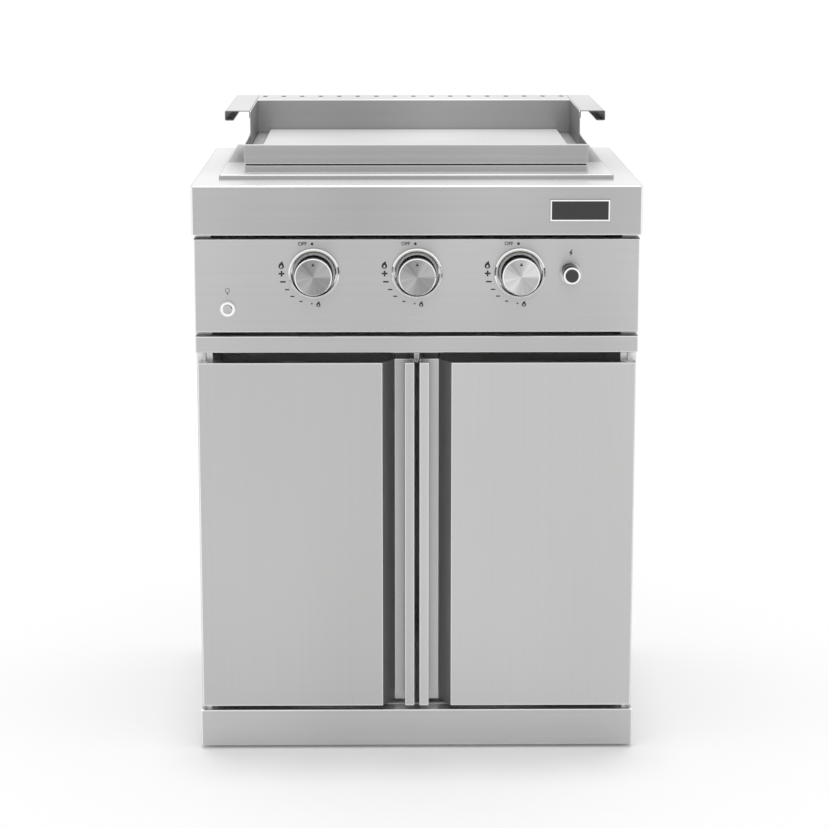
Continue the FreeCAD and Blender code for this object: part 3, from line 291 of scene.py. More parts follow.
def spun_metal(name, colour, centre):
    """Knob metal with the ring marks of a spun face and a fanned sheen painted into its colour, about an axis
    along Y.
    """
    made, tree, shader = new_material(name)
    place = tree.nodes.new("ShaderNodeTexCoord")
    shift = tree.nodes.new("ShaderNodeVectorMath")
    shift.operation = "SUBTRACT"
    shift.inputs[1].default_value = centre
    parts = tree.nodes.new("ShaderNodeSeparateXYZ")
    angle = tree.nodes.new("ShaderNodeMath")
    angle.operation = "ARCTAN2"
    link = tree.links.new
    link(place.outputs["Object"], shift.inputs[0])
    link(shift.outputs["Vector"], parts.inputs["Vector"])
    link(parts.outputs["Z"], angle.inputs[0])
    link(parts.outputs["X"], angle.inputs[1])
    fan = tree.nodes.new("ShaderNodeMath")
    fan.operation = "MULTIPLY_ADD"
    fan.inputs[1].default_value = FAN_COUNT
    fan.inputs[2].default_value = FAN_PHASE
    wave = tree.nodes.new("ShaderNodeMath")
    wave.operation = "SINE"
    half = tree.nodes.new("ShaderNodeMath")
    half.operation = "MULTIPLY_ADD"
    half.inputs[1].default_value = FAN_SWING
    half.inputs[2].default_value = FAN_MIDDLE
    link(angle.outputs["Value"], fan.inputs[0])
    link(fan.outputs["Value"], wave.inputs[0])
    link(wave.outputs["Value"], half.inputs[0])
    ray = tree.nodes.new("ShaderNodeTexNoise")
    ray.noise_dimensions = "1D"
    ray.inputs["Scale"].default_value = RAY_SCALE
    ray.inputs["Detail"].default_value = RAY_DETAIL
    link(angle.outputs["Value"], ray.inputs["W"])
    sheen = average(tree, half.outputs["Value"], ray.outputs["Fac"], RAY_SHARE)
    # Painted sheen: a fan of lighter and darker sectors round the axis, in the base colour
    fanned = tint(tree, sheen, *[shade(colour, factor) for factor in FAN_TINTS])
    link(fanned, shader.inputs["Base Color"])
    link(spread(tree, sheen, *SPUN_ROUGH), shader.inputs["Roughness"])
    shader.inputs["Metallic"].default_value = 1.0
    shader.inputs["Anisotropic"].default_value = SPUN_ANISOTROPY
    tangent = tree.nodes.new("ShaderNodeTangent")
    tangent.direction_type = "RADIAL"
    tangent.axis = "Y"
    link(tangent.outputs["Tangent"], shader.inputs["Tangent"])
    add_bump(tree, shader, ray.outputs["Fac"], SPUN_BUMP, SHEET_RELIEF)
    return made


def reflection_banded_metal(name, near_y, far_y, bands):
    """Turned flank with painted reflection: tones in bands along Y, as a polished side would reflect them."""
    made, tree, shader = new_material(name)
    place = tree.nodes.new("ShaderNodeTexCoord")
    parts = tree.nodes.new("ShaderNodeSeparateXYZ")
    along = tree.nodes.new("ShaderNodeMapRange")
    along.inputs["From Min"].default_value = near_y
    along.inputs["From Max"].default_value = far_y
    ramp = tree.nodes.new("ShaderNodeValToRGB")
    tones = ramp.color_ramp.elements
    while len(tones) < len(bands):
        tones.new(1.0)
    for tone, (position, grey) in zip(tones, bands):
        tone.position = position
        tone.color = (grey, grey, grey, 1.0)
    smear = grain_noise(tree, SMEAR_SCALE, SMEAR_DETAIL)
    link = tree.links.new
    link(place.outputs["Object"], parts.inputs["Vector"])
    link(parts.outputs["Y"], along.inputs["Value"])
    link(along.outputs["Result"], ramp.inputs["Fac"])
    link(ramp.outputs["Color"], shader.inputs["Base Color"])
    link(ramp.outputs["Color"], shader.inputs["Specular Tint"])
    link(spread(tree, smear, *BAND_ROUGH), shader.inputs["Roughness"])
    shader.inputs["Metallic"].default_value = 1.0
    return made


def moulded(name, colour, rough=MOULD_ROUGH, grain=700.0, bump=0.12):
    """Plastic, rubber or enamel with a fine moulded texture and slight colour change."""
    made, tree, shader = new_material(name)
    grainy = grain_noise(tree, (grain, grain, grain), MOULD_DETAIL)
    cloud = grain_noise(tree, MOULD_CLOUD, MOULD_DETAIL, MOULD_CLOUD_OFFSET)
    mixed = average(tree, grainy, cloud, MOULD_CLOUD_SHARE)
    link = tree.links.new
    mottled = tint(tree, mixed, *[shade(colour, factor) for factor in MOULD_TINTS])
    link(mottled, shader.inputs["Base Color"])
    link(spread(tree, mixed, *rough), shader.inputs["Roughness"])
    add_bump(tree, shader, grainy, bump, MOULD_RELIEF)
    return made


# Colours of the finishes
STEEL = (0.53, 0.53, 0.528)
# Painted shade and light: the apron, plinth and two doors are darker and lighter copies of the one steel, as
# light falls on each
APRON_STEEL = shade(STEEL, 0.88)
PLINTH_STEEL = shade(STEEL, 1.02)
LEFT_DOOR_STEEL = shade(STEEL, 0.97)
RIGHT_DOOR_STEEL = shade(STEEL, 1.06)
# Painted light: faces that look up get this lighter copy of the steel; the ledge and the cooking plate take
# their tones from it
LIT_TOP_STEEL = (0.69, 0.69, 0.688)
LEDGE_STEEL = shade(LIT_TOP_STEEL, 0.9)
PLATE_STEEL = shade(LIT_TOP_STEEL, 0.9)
GRIDDLE_STEEL = (0.42, 0.42, 0.422)
GRIP_STEEL = shade(GRIDDLE_STEEL, 1.1)
GUARD_STEEL = (0.39, 0.39, 0.395)
# Painted shade: the insides of the wings are a darker copy of the guard's steel
WING_SHADE_GREY = shade(GUARD_STEEL, 0.76)
# Painted shade on the slanted flanks of the door pulls
PULL_FLANK_SHADE = (0.4, 0.4, 0.402)
# Painted highlight on the folds of the front sheets
FOLD_HIGHLIGHT_GREY = (0.84, 0.84, 0.84)
# Painted shade for the insides of the grips
SHADED_STEEL = (0.3, 0.3, 0.305)
# Painted light for the sheet inside the cabinet
INSIDE_LIGHT_GREY = (0.92, 0.92, 0.918)
# Painted shade for the walls of the ledge's holes, its underside and the inside of its lip
LEDGE_SHADE_GREY = (0.03, 0.03, 0.03)
ZINC = (0.5, 0.51, 0.53)
CHROME = (0.5, 0.5, 0.505)
# Bright polished metal: the badge's rim, and the painted highlight on the chamfers and end faces of the turned
# trim
BRIGHT_METAL = (0.93, 0.93, 0.93)
# Painted shade on the flanks of the bezels and the lamp switch, with a painted highlight along their edges
SHADED_CHROME = (0.14, 0.14, 0.145)
SHADED_CHROME_RIM = (0.3, 0.3, 0.3)
BRASS = (0.6, 0.45, 0.22)
BRASS_EDGE_HIGHLIGHT = (0.75, 0.6, 0.34)
BLACK_PLASTIC = (0.02, 0.02, 0.02)
GLOSS_BLACK = (0.03, 0.03, 0.03)
BADGE_BLACK = (0.025, 0.025, 0.026)
NYLON = (0.7, 0.7, 0.68)
PORCELAIN = (0.78, 0.77, 0.72)
FROSTED_LENS = (0.76, 0.765, 0.77)
PRINT_BLACK = (0.02, 0.02, 0.022)

# Roughness of the finishes, at the two ends of the noise
SATIN_ROUGH = (0.36, 0.5)
GRIDDLE_ROUGH = (0.28, 0.42)
GUARD_ROUGH = (0.32, 0.46)
GRIP_ROUGH = (0.26, 0.4)
DULL_ROUGH = (0.4, 0.55)
PLATE_ROUGH = (0.38, 0.52)
FOLD_ROUGH = (0.2, 0.3)
LEDGE_SHADE_ROUGH = (0.5, 0.7)
ZINC_ROUGH = (0.3, 0.45)
BRASS_ROUGH = (0.25, 0.4)
GLOSS_ROUGH = (0.16, 0.28)
BADGE_ROUGH = (0.2, 0.32)
GLAZE_ROUGH = (0.12, 0.22)
LENS_ROUGH = (0.3, 0.45)
PRINT_ROUGH = (0.45, 0.6)

sheet_x = brushed_metal("brushed_front", STEEL, "x")
sheet_apron = brushed_metal("brushed_apron", APRON_STEEL, "x", reflection_sweep=0.14)
sheet_plinth = brushed_metal("brushed_plinth", PLINTH_STEEL, "x", reflection_sweep=0.06)
sheet_z = brushed_metal("brushed_upright", STEEL, "z", contrast=0.03, reflection_sweep=0.05)
sheet_left = brushed_metal("brushed_left_door", LEFT_DOOR_STEEL, "z", contrast=0.03, bump=0.02, reflection_sweep=0.04)
sheet_right = brushed_metal("brushed_right_door", RIGHT_DOOR_STEEL, "z", contrast=0.03, bump=0.02, reflection_sweep=0.04)
sheet_y = brushed_metal("brushed_deep", STEEL, "y")
lit_top_sheet = brushed_metal("brushed_top", LIT_TOP_STEEL, "x", SATIN_ROUGH, contrast=0.03)
griddle_steel = brushed_metal("griddle_sheet", GRIDDLE_STEEL, "x", GRIDDLE_ROUGH, contrast=0.06)
guard_steel = brushed_metal("guard_sheet", GUARD_STEEL, "x", GUARD_ROUGH, contrast=0.06)
grip_steel = brushed_metal("grip_sheet", GRIP_STEEL, "y", GRIP_ROUGH, contrast=0.06)
sheet_ledge = brushed_metal("brushed_ledge", LEDGE_STEEL, "x", SATIN_ROUGH, contrast=0.03, edge_highlit=False)
holed_ledge = brushed_metal("holed_ledge", LEDGE_STEEL, "x", SATIN_ROUGH, contrast=0.03, edge_highlit=False)
shaded_steel = brushed_metal("shaded_sheet", SHADED_STEEL, "y", DULL_ROUGH, contrast=0.1, edge_highlit=False)
wing_inside_shade = brushed_metal("wing_inside_shade", WING_SHADE_GREY, "y", GUARD_ROUGH, contrast=0.06, edge_highlit=False)
plate_steel = brushed_metal("cooking_plate", PLATE_STEEL, "x", PLATE_ROUGH, contrast=0.06, bump=0.06)
guard_inside = brushed_metal("guard_inside", GUARD_STEEL, "x", GUARD_ROUGH, contrast=0.06, edge_highlit=False)
pull_flank_shade_sheet = brushed_metal("pull_flank_shade", PULL_FLANK_SHADE, "z", SHEET_ROUGH, contrast=0.06, edge_highlit=False)
fold_highlight_sheet = brushed_metal("painted_fold_highlight", FOLD_HIGHLIGHT_GREY, "x", FOLD_ROUGH, contrast=0.04, edge_highlit=False)
ledge_shade = brushed_metal("ledge_shade", LEDGE_SHADE_GREY, "z", LEDGE_SHADE_ROUGH, contrast=0.2, edge_highlit=False)
inside_light_sheet = brushed_metal("bright_inside", INSIDE_LIGHT_GREY, "z", DULL_ROUGH, contrast=0.03, edge_highlit=False)
zinc = brushed_metal("zinc_plate", ZINC, "z", ZINC_ROUGH, contrast=0.1)
chrome = polished_metal("bright_chrome", CHROME)
bright_edge = polished_metal("bright_edge", BRIGHT_METAL)
shaded_chrome = polished_metal("shaded_chrome", SHADED_CHROME, rim=0.4 * MM, bright=SHADED_CHROME_RIM)
brass = polished_metal("valve_brass", BRASS, BRASS_ROUGH, rim=0.6 * MM, bright=BRASS_EDGE_HIGHLIGHT)
black_plastic = moulded("black_plastic", BLACK_PLASTIC)
gloss_black = moulded("gloss_black", GLOSS_BLACK, GLOSS_ROUGH, grain=300.0, bump=0.03)
badge_black = moulded("badge_black", BADGE_BLACK, BADGE_ROUGH, grain=500.0, bump=0.05)
nylon = moulded("nylon", NYLON)
porcelain = moulded("porcelain", PORCELAIN, GLAZE_ROUGH, grain=200.0, bump=0.03)
frosted = moulded("frosted_lens", FROSTED_LENS, LENS_ROUGH, grain=400.0, bump=0.04)
print_black = moulded("print_black", PRINT_BLACK, PRINT_ROUGH, grain=900.0, bump=0.05)

FINISH = {
    "worktop": sheet_apron, "control_panel": sheet_x, "cabinet_front_rail": sheet_x, "plinth": sheet_plinth,
    "worktop_front_rail": sheet_x, "worktop_rear_rail": sheet_x, "cabinet_floor": sheet_x,
    "left_side_panel": sheet_z, "right_side_panel": sheet_z, "back_panel": sheet_z,
    "left_door_skin": sheet_left, "right_door_skin": sheet_right, "left_door_liner": sheet_left,
    "right_door_liner": sheet_right, "tray_runners": sheet_y, "drip_tray": sheet_y,
    "griddle_tray": griddle_steel, "splash_guard": guard_steel, "hob_frame": griddle_steel,
    "burner_box": griddle_steel, "left_grip": grip_steel, "right_grip": grip_steel,
    "griddle_plate": plate_steel, "griddle_pads": zinc, "burner_rest": griddle_steel,
    "burner_1": griddle_steel, "burner_2": griddle_steel, "burner_3": griddle_steel,
    "back_screws": zinc, "foot_brackets": zinc, "foot_nuts": zinc, "hinge_pins": zinc,
    "catch_bracket": zinc, "left_door_strike": zinc, "right_door_strike": zinc, "gas_manifold": zinc,
    "levelling_feet": black_plastic, "door_magnets": black_plastic,
    "left_door_bushes": nylon, "right_door_bushes": nylon,
    "knob_bezels": chrome, "igniter_housing": chrome, "lamp_switch_housing": chrome,
    "lamp_switch_button": chrome, "igniter_button": gloss_black, "badge_plate": badge_black,
    "igniter_electrodes": porcelain, "knob_light_rings": frosted,
}
KNOBS = (1, 2, 3)
# Painted reflection: each knob's spun face is given its own tone, the third much lighter
KNOB_REFLECTION_TONES = {1: 0.34, 2: 0.36, 3: 0.56}
for number in KNOBS:
    for piece in ("valve_body", "valve_plug", "valve_stem"):
        FINISH[f"{piece}_{number}"] = brass
    low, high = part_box(f"knob_{number}")
    face = (KNOB_REFLECTION_TONES[number],) * 3
    FINISH[f"knob_{number}"] = spun_metal(f"spun_knob_{number}", face, (low + high) / 2)

for node, finish in FINISH.items():
    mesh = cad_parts[node].data
    mesh.materials.clear()
    mesh.materials.append(finish)


def refinish(node, finish, chosen):
    """Give some faces of a node another finish, picked by their normal and middle in world space."""
    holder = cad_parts[node]
    turn = holder.matrix_world.to_3x3()
    holder.data.materials.append(finish)
    index = len(holder.data.materials) - 1
    for face in holder.data.polygons:
        if chosen(turn @ face.normal, holder.matrix_world @ face.center):
            face.material_index = index


LIT_TOP_SHEETS = {
    "worktop": lit_top_sheet, "hob_frame": lit_top_sheet, "burner_box": lit_top_sheet, "griddle_tray": lit_top_sheet,
    "splash_guard": holed_ledge, "left_grip": sheet_ledge, "right_grip": sheet_ledge,
}
# Limits for picking faces by the way they face
FACING_UP = 0.8
FACING_FRONT = 0.95
SIDEWAYS = 0.2
FLANK = (0.45, 0.53)
END_FACE = 0.5 * MM
# Painted reflection tones along the turned sides, from the front end to the panel
KNOB_REFLECTION_BANDS = ((0.0, 0.75), (0.22, 0.6), (0.34, 0.2), (0.6, 0.18), (0.72, 0.1))
COLLAR_REFLECTION_BANDS = ((0.0, 0.6), (0.2, 0.24), (0.5, 0.12), (0.62, 0.5), (0.8, 0.3))
panel_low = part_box("control_panel")[0]
# Painted light: faces that look up take the lighter top finishes
for node, finish in LIT_TOP_SHEETS.items():
    refinish(node, finish, lambda normal, middle: normal.z > FACING_UP)


def shade_round_holes(finish, pitch, line_y, half_width, half_length):
    """Painted shade: darken a sheet in an oval round each hole of a row along X."""
    tree = finish.node_tree
    shader = tree.nodes["Principled BSDF"]
    place = tree.nodes.new("ShaderNodeTexCoord")
    parts = tree.nodes.new("ShaderNodeSeparateXYZ")
    along = tree.nodes.new("ShaderNodeMath")
    along.operation = "PINGPONG"
    along.inputs[1].default_value = pitch / 2
    oval = tree.nodes.new("ShaderNodeCombineXYZ")
    stretch = tree.nodes.new("ShaderNodeVectorMath")
    stretch.operation = "DIVIDE"
    stretch.inputs[1].default_value = (half_width, half_length, 1.0)
    behind = tree.nodes.new("ShaderNodeMath")
    behind.operation = "SUBTRACT"
    behind.inputs[1].default_value = line_y
    reach = tree.nodes.new("ShaderNodeVectorMath")
    reach.operation = "LENGTH"
    clear = tree.nodes.new("ShaderNodeMapRange")
    clear.inputs["From Min"].default_value = HOLE_SHADE_FADE[0]
    clear.inputs["From Max"].default_value = HOLE_SHADE_FADE[1]
    clear.inputs["To Min"].default_value = HOLE_SHADE_DARK
    clear.inputs["To Max"].default_value = 1.0
    link = tree.links.new
    link(place.outputs["Object"], parts.inputs["Vector"])
    link(parts.outputs["X"], along.inputs[0])
    link(parts.outputs["Y"], behind.inputs[0])
    link(along.outputs["Value"], oval.inputs["X"])
    link(behind.outputs["Value"], oval.inputs["Y"])
    link(oval.outputs["Vector"], stretch.inputs[0])
    link(stretch.outputs["Vector"], reach.inputs[0])
    link(reach.outputs["Value"], clear.inputs["Value"])
    unshaded = shader.inputs["Base Color"].links[0].from_socket
    link(scaled(tree, unshaded, clear.outputs["Result"]), shader.inputs["Base Color"])


# Painted shade in ovals round the ledge's holes, and on the walls inside them
HOLE_SHADE_FADE = (0.75, 1.15)
HOLE_SHADE_DARK = 0.1
HOLE_PITCH = 32.5 * MM
HOLE_LINE = 31.0 * MM
SHADE_HALF_WIDTH = 4.6 * MM
SHADE_HALF_LENGTH = 11.0 * MM
# The ledge behind the wall that holds the holes: from its front, rear, top and ends
LEDGE_FRONT = 20.0 * MM
LEDGE_REAR = 10.0 * MM
LEDGE_THICK = 2.0 * MM
LEDGE_END = 8.0 * MM
ledge_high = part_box("splash_guard")[1]
shade_round_holes(holed_ledge, HOLE_PITCH, ledge_high.y - HOLE_LINE, SHADE_HALF_WIDTH, SHADE_HALF_LENGTH)
wall_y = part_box("griddle_tray")[1].y
refinish("splash_guard", ledge_shade, lambda normal, middle: abs(normal.z) < SIDEWAYS
         and wall_y + LEDGE_FRONT < middle.y < ledge_high.y - LEDGE_REAR
         and middle.z > ledge_high.z - LEDGE_THICK and abs(middle.x) < ledge_high.x - LEDGE_END)

# Painted shade on the underside of the ledge and the inside of its lip
refinish("splash_guard", ledge_shade, lambda normal, middle: middle.y > wall_y + LEDGE_THICK
         and (normal.z < -FACING_UP or normal.y < -FACING_UP))

# Painted shade on what shows of the tray's rear wall round the guard, in the guard's darker steel
REAR_BAND = 6.0 * MM
refinish("griddle_tray", guard_inside, lambda normal, middle: middle.y > wall_y - REAR_BAND
         and normal.y < SIDEWAYS)

# Insides of the guard's wall; painted shade on the insides of the wings and in the gutters round the plate
refinish("splash_guard", guard_inside, lambda normal, middle: normal.y < -FACING_UP and middle.y < wall_y)
refinish("splash_guard", wing_inside_shade, lambda normal, middle: normal.x * middle.x < -FACING_UP * abs(middle.x))
gutter_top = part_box("griddle_plate")[1].z
refinish("griddle_tray", guard_inside, lambda normal, middle: normal.z > FACING_UP and middle.z < gutter_top)

# Painted light: the sheet inside the cabinet is much brighter than the steel outside
refinish("back_panel", inside_light_sheet, lambda normal, middle: normal.y < -FACING_UP)
refinish("cabinet_floor", inside_light_sheet, lambda normal, middle: normal.z > FACING_UP)
for node in ("left_side_panel", "right_side_panel"):
    refinish(node, inside_light_sheet, lambda normal, middle: normal.x * middle.x < -FACING_UP * abs(middle.x)
             or normal.y < -FACING_UP)
for node in ("left_door_liner", "right_door_liner"):
    refinish(node, inside_light_sheet, lambda normal, middle: normal.y > FACING_UP)

# Painted highlight on the folds along the front sheets
for node in ("worktop", "control_panel", "cabinet_front_rail", "plinth", "left_door_skin", "right_door_skin"):
    refinish(node, fold_highlight_sheet, lambda normal, middle: -FACING_FRONT < normal.y < -SIDEWAYS)

# Painted shade: darker steel on the slanted flanks of the door pulls
for node in ("left_door_skin", "right_door_skin"):
    refinish(node, pull_flank_shade_sheet, lambda normal, middle: -FLANK[1] < normal.y < -FLANK[0])

# Painted shade on the insides of the grips
for node in ("left_grip", "right_grip"):
    low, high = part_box(node)
    refinish(node, shaded_steel, lambda normal, middle: middle.z < high.z - END_FACE
             and normal.x * middle.x < SIDEWAYS * abs(middle.x))

# Painted highlight on the chamfers and painted shade on the flanks of the turned trim
for node in ("knob_1", "knob_2", "knob_3", "knob_bezels", "igniter_housing", "lamp_switch_housing"):
    refinish(node, bright_edge, lambda normal, middle: -FACING_FRONT < normal.y < -SIDEWAYS)
for node in ("knob_bezels", "lamp_switch_housing", "lamp_switch_button"):
    refinish(node, shaded_chrome, lambda normal, middle: abs(normal.y) < SIDEWAYS)

# Painted reflection bands on the polished sides of the knobs and of the igniter's collar
for node, bands in (("knob_1", KNOB_REFLECTION_BANDS), ("knob_2", KNOB_REFLECTION_BANDS), ("knob_3", KNOB_REFLECTION_BANDS),
                    ("igniter_housing", COLLAR_REFLECTION_BANDS)):
    near_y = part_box(node)[0].y
    side = reflection_banded_metal(f"{node}_side", near_y, panel_low.y, bands)
    refinish(node, side, lambda normal, middle: abs(normal.y) < SIDEWAYS)

# Painted highlight on the end faces of the igniter's collar and the lamp switch
for node in ("igniter_housing", "lamp_switch_housing"):
    end_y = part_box(node)[0].y + END_FACE
    refinish(node, bright_edge, lambda normal, middle: normal.y < -FACING_FRONT and middle.y < end_y)


def printed(name, loops, place, finish, body, lift=PRINT_LIFT):
    """Flat mark that faces forward: loops of (x, z) millimetre points, where inner loops cut holes."""
    curve = bpy.data.curves.new(name, "CURVE")
    curve.dimensions = "2D"
    curve.fill_mode = "BOTH"
    curve.extrude = lift / 2
    for loop in loops:
        spline = curve.splines.new("POLY")
        spline.points.add(len(loop) - 1)
        for point, (x, z) in zip(spline.points, loop):
            point.co = (x * MM, z * MM, 0.0, 1.0)
        spline.use_cyclic_u = True
    return set_forward(name, curve, place, finish, body, lift)


def set_forward(name, curve, place, finish, body, lift):
    """Turn a flat curve into a mesh that stands on a front face and rides a body."""
    scratch = bpy.data.objects.new(name + "_curve", curve)
    bpy.context.scene.collection.objects.link(scratch)
    scratch.rotation_euler = (math.radians(RIGHT_ANGLE_DEG), 0.0, 0.0)
    scratch.location = Vector(place) - Vector((0.0, lift / 2 + PRINT_GAP, 0.0))
    bpy.context.view_layer.update()
    graph = bpy.context.evaluated_depsgraph_get()
    mesh = bpy.data.meshes.new_from_object(scratch.evaluated_get(graph))
    mesh.transform(scratch.matrix_world)
    bpy.data.objects.remove(scratch)
    piece = bpy.data.objects.new(name, mesh)
    bpy.context.scene.collection.objects.link(piece)
    mesh.materials.clear()
    mesh.materials.append(finish)
    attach(piece, body)
    return piece


def lettering(name, words, height, place, finish, body):
    """Small printed word, centred on a place."""
    curve = bpy.data.curves.new(name, "FONT")
    curve.body = words
    curve.size = height * MM / CAPITAL_SHARE
    curve.align_x = "CENTER"
    curve.align_y = "CENTER"
    curve.extrude = PRINT_LIFT / 2
    curve.offset = BOLD
    return set_forward(name, curve, place, finish, body, PRINT_LIFT)


def disc(x, z, radius, sides=20):
    """Round outline."""
    return [(x + radius * math.cos(2 * math.pi * k / sides), z + radius * math.sin(2 * math.pi * k / sides))
            for k in range(sides)]


def bar(x, z, width, height):
    """Upright rectangle outline about a centre."""
    return [(x - width / 2, z - height / 2), (x + width / 2, z - height / 2),
            (x + width / 2, z + height / 2), (x - width / 2, z + height / 2)]


def cross(x, z, size, stroke):
    """Plus sign outline."""
    a = size / 2
    b = stroke / 2
    arms = [(-a, -b), (-b, -b), (-b, -a), (b, -a), (b, -b), (a, -b),
            (a, b), (b, b), (b, a), (-b, a), (-b, b), (-a, b)]
    return [(x + u, z + v) for u, v in arms]


# Shape of a flame, as shares of its size
FLAME_BELLY = 0.62
FLAME_TAPER = 0.38
FLAME_ROUND = 0.9
FLAME_HALF_WIDTH = 0.52
FLAME_HALF_HEIGHT = 0.5
FLAME_LEAN = 0.18
TIP_CURL = 3
CORE_DROP = 0.18
CORE_SIZE = 0.4


def drop(x, z, size, sides=28):
    """Flame outline: a drop with its tip drawn up to one side."""
    points = []
    for k in range(sides):
        turn = 2 * math.pi * k / sides
        up = math.cos(turn)
        wide = FLAME_HALF_WIDTH * math.sin(turn) * (FLAME_BELLY - FLAME_TAPER * up) ** FLAME_ROUND
        curl = FLAME_LEAN * max(0.0, up) ** TIP_CURL
        points.append((x + size * (wide + curl), z + size * FLAME_HALF_HEIGHT * up))
    return points


def flame(x, z, size):
    """Flame with a smaller flame cut out of its foot."""
    return [drop(x, z, size), drop(x, z - size * CORE_DROP, size * CORE_SIZE)]


# Marks round each knob, in millimetres from its axis
OFF_MARK = (-17.5, 46.3)
OFF_HEIGHT = 5.4
OFF_DOT = (-2.6, 46.3, 2.2)
HIGH_FLAME = (-50.6, 13.2, 11.6)
PLUS_MARK = (-50.2, -0.2, 9.0, 2.6)
TICKS = ((-48.2, -13.1, 8.6, 2.4), (-41.7, -25.3, 6.8, 1.9),
         (-33.8, -35.9, 6.0, 1.9), (-20.4, -43.9, 4.6, 1.9))
LOW_DOT = (-3.6, -47.4, 1.3)
LOW_FLAME = (6.6, -48.1, 8.8)
POINTER = ((-2.7, 17.4), (2.7, 17.4), (0.0, 22.4))

for number in KNOBS:
    low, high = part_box(f"knob_{number}")
    axis_x = (low.x + high.x) / 2
    axis_z = (low.z + high.z) / 2
    hub = (axis_x, panel_low.y, axis_z)
    marks = [disc(*OFF_DOT), cross(*PLUS_MARK), disc(*LOW_DOT)]
    marks += [bar(*tick) for tick in TICKS]
    marks += flame(*HIGH_FLAME) + flame(*LOW_FLAME)
    printed(f"dial_marks_{number}", marks, hub, print_black, "cabinet")
    word_place = (axis_x + OFF_MARK[0] * MM, panel_low.y, axis_z + OFF_MARK[1] * MM)
    lettering(f"off_mark_{number}", "OFF", OFF_HEIGHT, word_place, print_black, "cabinet")
    knob_face = (axis_x, low.y, axis_z)
    printed(f"knob_pointer_{number}", [POINTER], knob_face, print_black, f"knob_{number}")

# Small sign for the igniter and for the lamp switch, in millimetres
BOLT = ((0.6, 5.2), (-3.0, -0.6), (-0.5, -0.6), (-1.4, -5.2), (3.0, 1.0), (0.4, 1.0), (2.4, 5.2))
SIGN_RISE = 15.0
low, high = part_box("igniter_housing")
igniter_top = ((low.x + high.x) / 2, panel_low.y, high.z + SIGN_RISE * MM)
printed("igniter_sign", [BOLT], igniter_top, print_black, "cabinet")

LAMP_RING = ((0.0, 1.4, 3.6), (0.0, 1.4, 2.9))
LAMP_BASE = ((0.0, -3.2, 3.0, 0.9), (0.0, -4.7, 2.0, 0.9))
low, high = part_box("lamp_switch_housing")
lamp_top = ((low.x + high.x) / 2, panel_low.y, high.z + SIGN_RISE * MM)
lamp_marks = [disc(*ring) for ring in LAMP_RING] + [bar(*base) for base in LAMP_BASE]
printed("lamp_sign", lamp_marks, lamp_top, print_black, "cabinet")

# Bright rim round the bare badge plate
RIM_WIDTH = 2.6
RIM_MARGIN = 0.8
RIM_LIFT = 0.5 * MM
low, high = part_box("badge_plate")
badge = (high - low) / MM
badge_place = ((low.x + high.x) / 2, low.y, (low.z + high.z) / 2)
badge_rim = [bar(0.0, 0.0, badge.x - RIM_MARGIN, badge.z - RIM_MARGIN),
             bar(0.0, 0.0, badge.x - 2 * RIM_WIDTH, badge.z - 2 * RIM_WIDTH)]
printed("badge_rim", badge_rim, badge_place, bright_edge, "cabinet", RIM_LIFT)


def pale_where_seen(tree, shader_in, plain, seen):
    """Use one shader for the camera, reflections and clear pieces, and another for lighting."""
    path = tree.nodes.new("ShaderNodeLightPath")
    first = tree.nodes.new("ShaderNodeMath")
    first.operation = "ADD"
    second = tree.nodes.new("ShaderNodeMath")
    second.operation = "ADD"
    second.use_clamp = True
    mix = tree.nodes.new("ShaderNodeMixShader")
    link = tree.links.new
    link(path.outputs["Is Camera Ray"], first.inputs[0])
    link(path.outputs["Is Glossy Ray"], first.inputs[1])
    link(first.outputs["Value"], second.inputs[0])
    link(path.outputs["Is Transmission Ray"], second.inputs[1])
    link(second.outputs["Value"], mix.inputs["Fac"])
    link(plain, mix.inputs[1])
    link(seen, mix.inputs[2])
    link(mix.outputs["Shader"], shader_in)


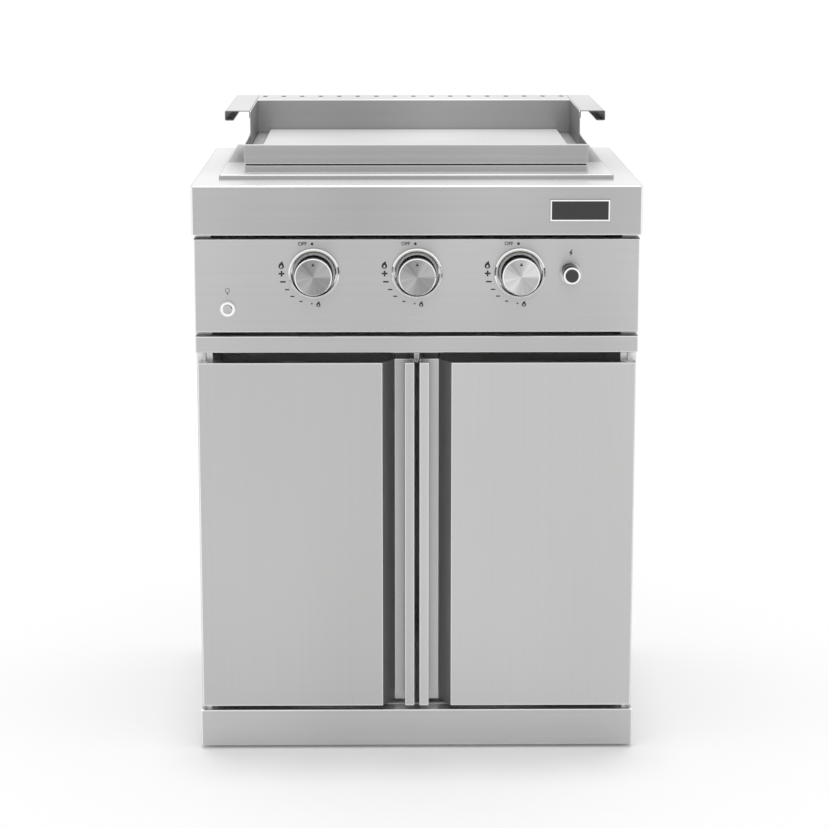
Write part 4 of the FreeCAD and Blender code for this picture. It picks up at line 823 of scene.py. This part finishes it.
def make_floor():
    """Pale floor that takes the object's shadow."""
    half = FLOOR_SIZE / 2
    mesh = bpy.data.meshes.new("floor")
    corners = [(-half, -half, 0), (half, -half, 0), (half, half, 0), (-half, half, 0)]
    mesh.from_pydata(corners, [], [(0, 1, 2, 3)])
    floor = bpy.data.objects.new("floor", mesh)
    bpy.context.scene.collection.objects.link(floor)
    made = bpy.data.materials.new("pale_floor")
    made.use_nodes = True
    tree = made.node_tree
    tree.nodes.remove(tree.nodes["Principled BSDF"])
    plain = tree.nodes.new("ShaderNodeBsdfDiffuse")
    plain.inputs["Color"].default_value = (*FLOOR_COLOUR, 1.0)
    glow = tree.nodes.new("ShaderNodeEmission")
    glow.inputs["Strength"].default_value = FLOOR_LIFT
    lifted = tree.nodes.new("ShaderNodeAddShader")
    tree.links.new(plain.outputs["BSDF"], lifted.inputs[0])
    tree.links.new(glow.outputs["Emission"], lifted.inputs[1])
    end = tree.nodes["Material Output"]
    pale_where_seen(tree, end.inputs["Surface"], plain.outputs["BSDF"], lifted.outputs["Shader"])
    mesh.materials.append(made)


def make_world():
    """White studio all round, a little dimmer as a light than as a background."""
    world = bpy.data.worlds.new("studio")
    bpy.context.scene.world = world
    world.use_nodes = True
    tree = world.node_tree
    plain = tree.nodes["Background"]
    plain.inputs["Color"].default_value = WHITE
    plain.inputs["Strength"].default_value = WORLD_DIFFUSE
    seen = tree.nodes.new("ShaderNodeBackground")
    seen.inputs["Color"].default_value = WHITE
    seen.inputs["Strength"].default_value = 1.0
    end = tree.nodes["World Output"]
    pale_where_seen(tree, end.inputs["Surface"], plain.outputs["Background"], seen.outputs["Background"])


def make_sun():
    """One broad soft lamp high over the object and a little behind it."""
    light = bpy.data.lights.new("key", "SUN")
    light.energy = SUN_STRENGTH
    light.angle = math.radians(SUN_ANGLE_DEG)
    lamp = bpy.data.objects.new("key", light)
    lamp.rotation_euler = [math.radians(a) for a in SUN_TILT_DEG]
    bpy.context.scene.collection.objects.link(lamp)


def make_camera():
    """Camera at the photograph's viewing angle."""
    data = bpy.data.cameras.new("camera")
    data.sensor_width = SENSOR_MM
    data.lens = FOCAL_PX / IMAGE_PX * SENSOR_MM
    data.shift_y = CAMERA_SHIFT_Y
    camera = bpy.data.objects.new("camera", data)
    camera.location = CAMERA_PLACE
    camera.rotation_euler = (math.radians(RIGHT_ANGLE_DEG - PITCH_DEG), 0.0, math.radians(HEADING_DEG))
    bpy.context.scene.collection.objects.link(camera)
    bpy.context.scene.camera = camera


make_floor()
make_world()
make_sun()
make_camera()
bpy.context.scene.view_settings.view_transform = "Standard"
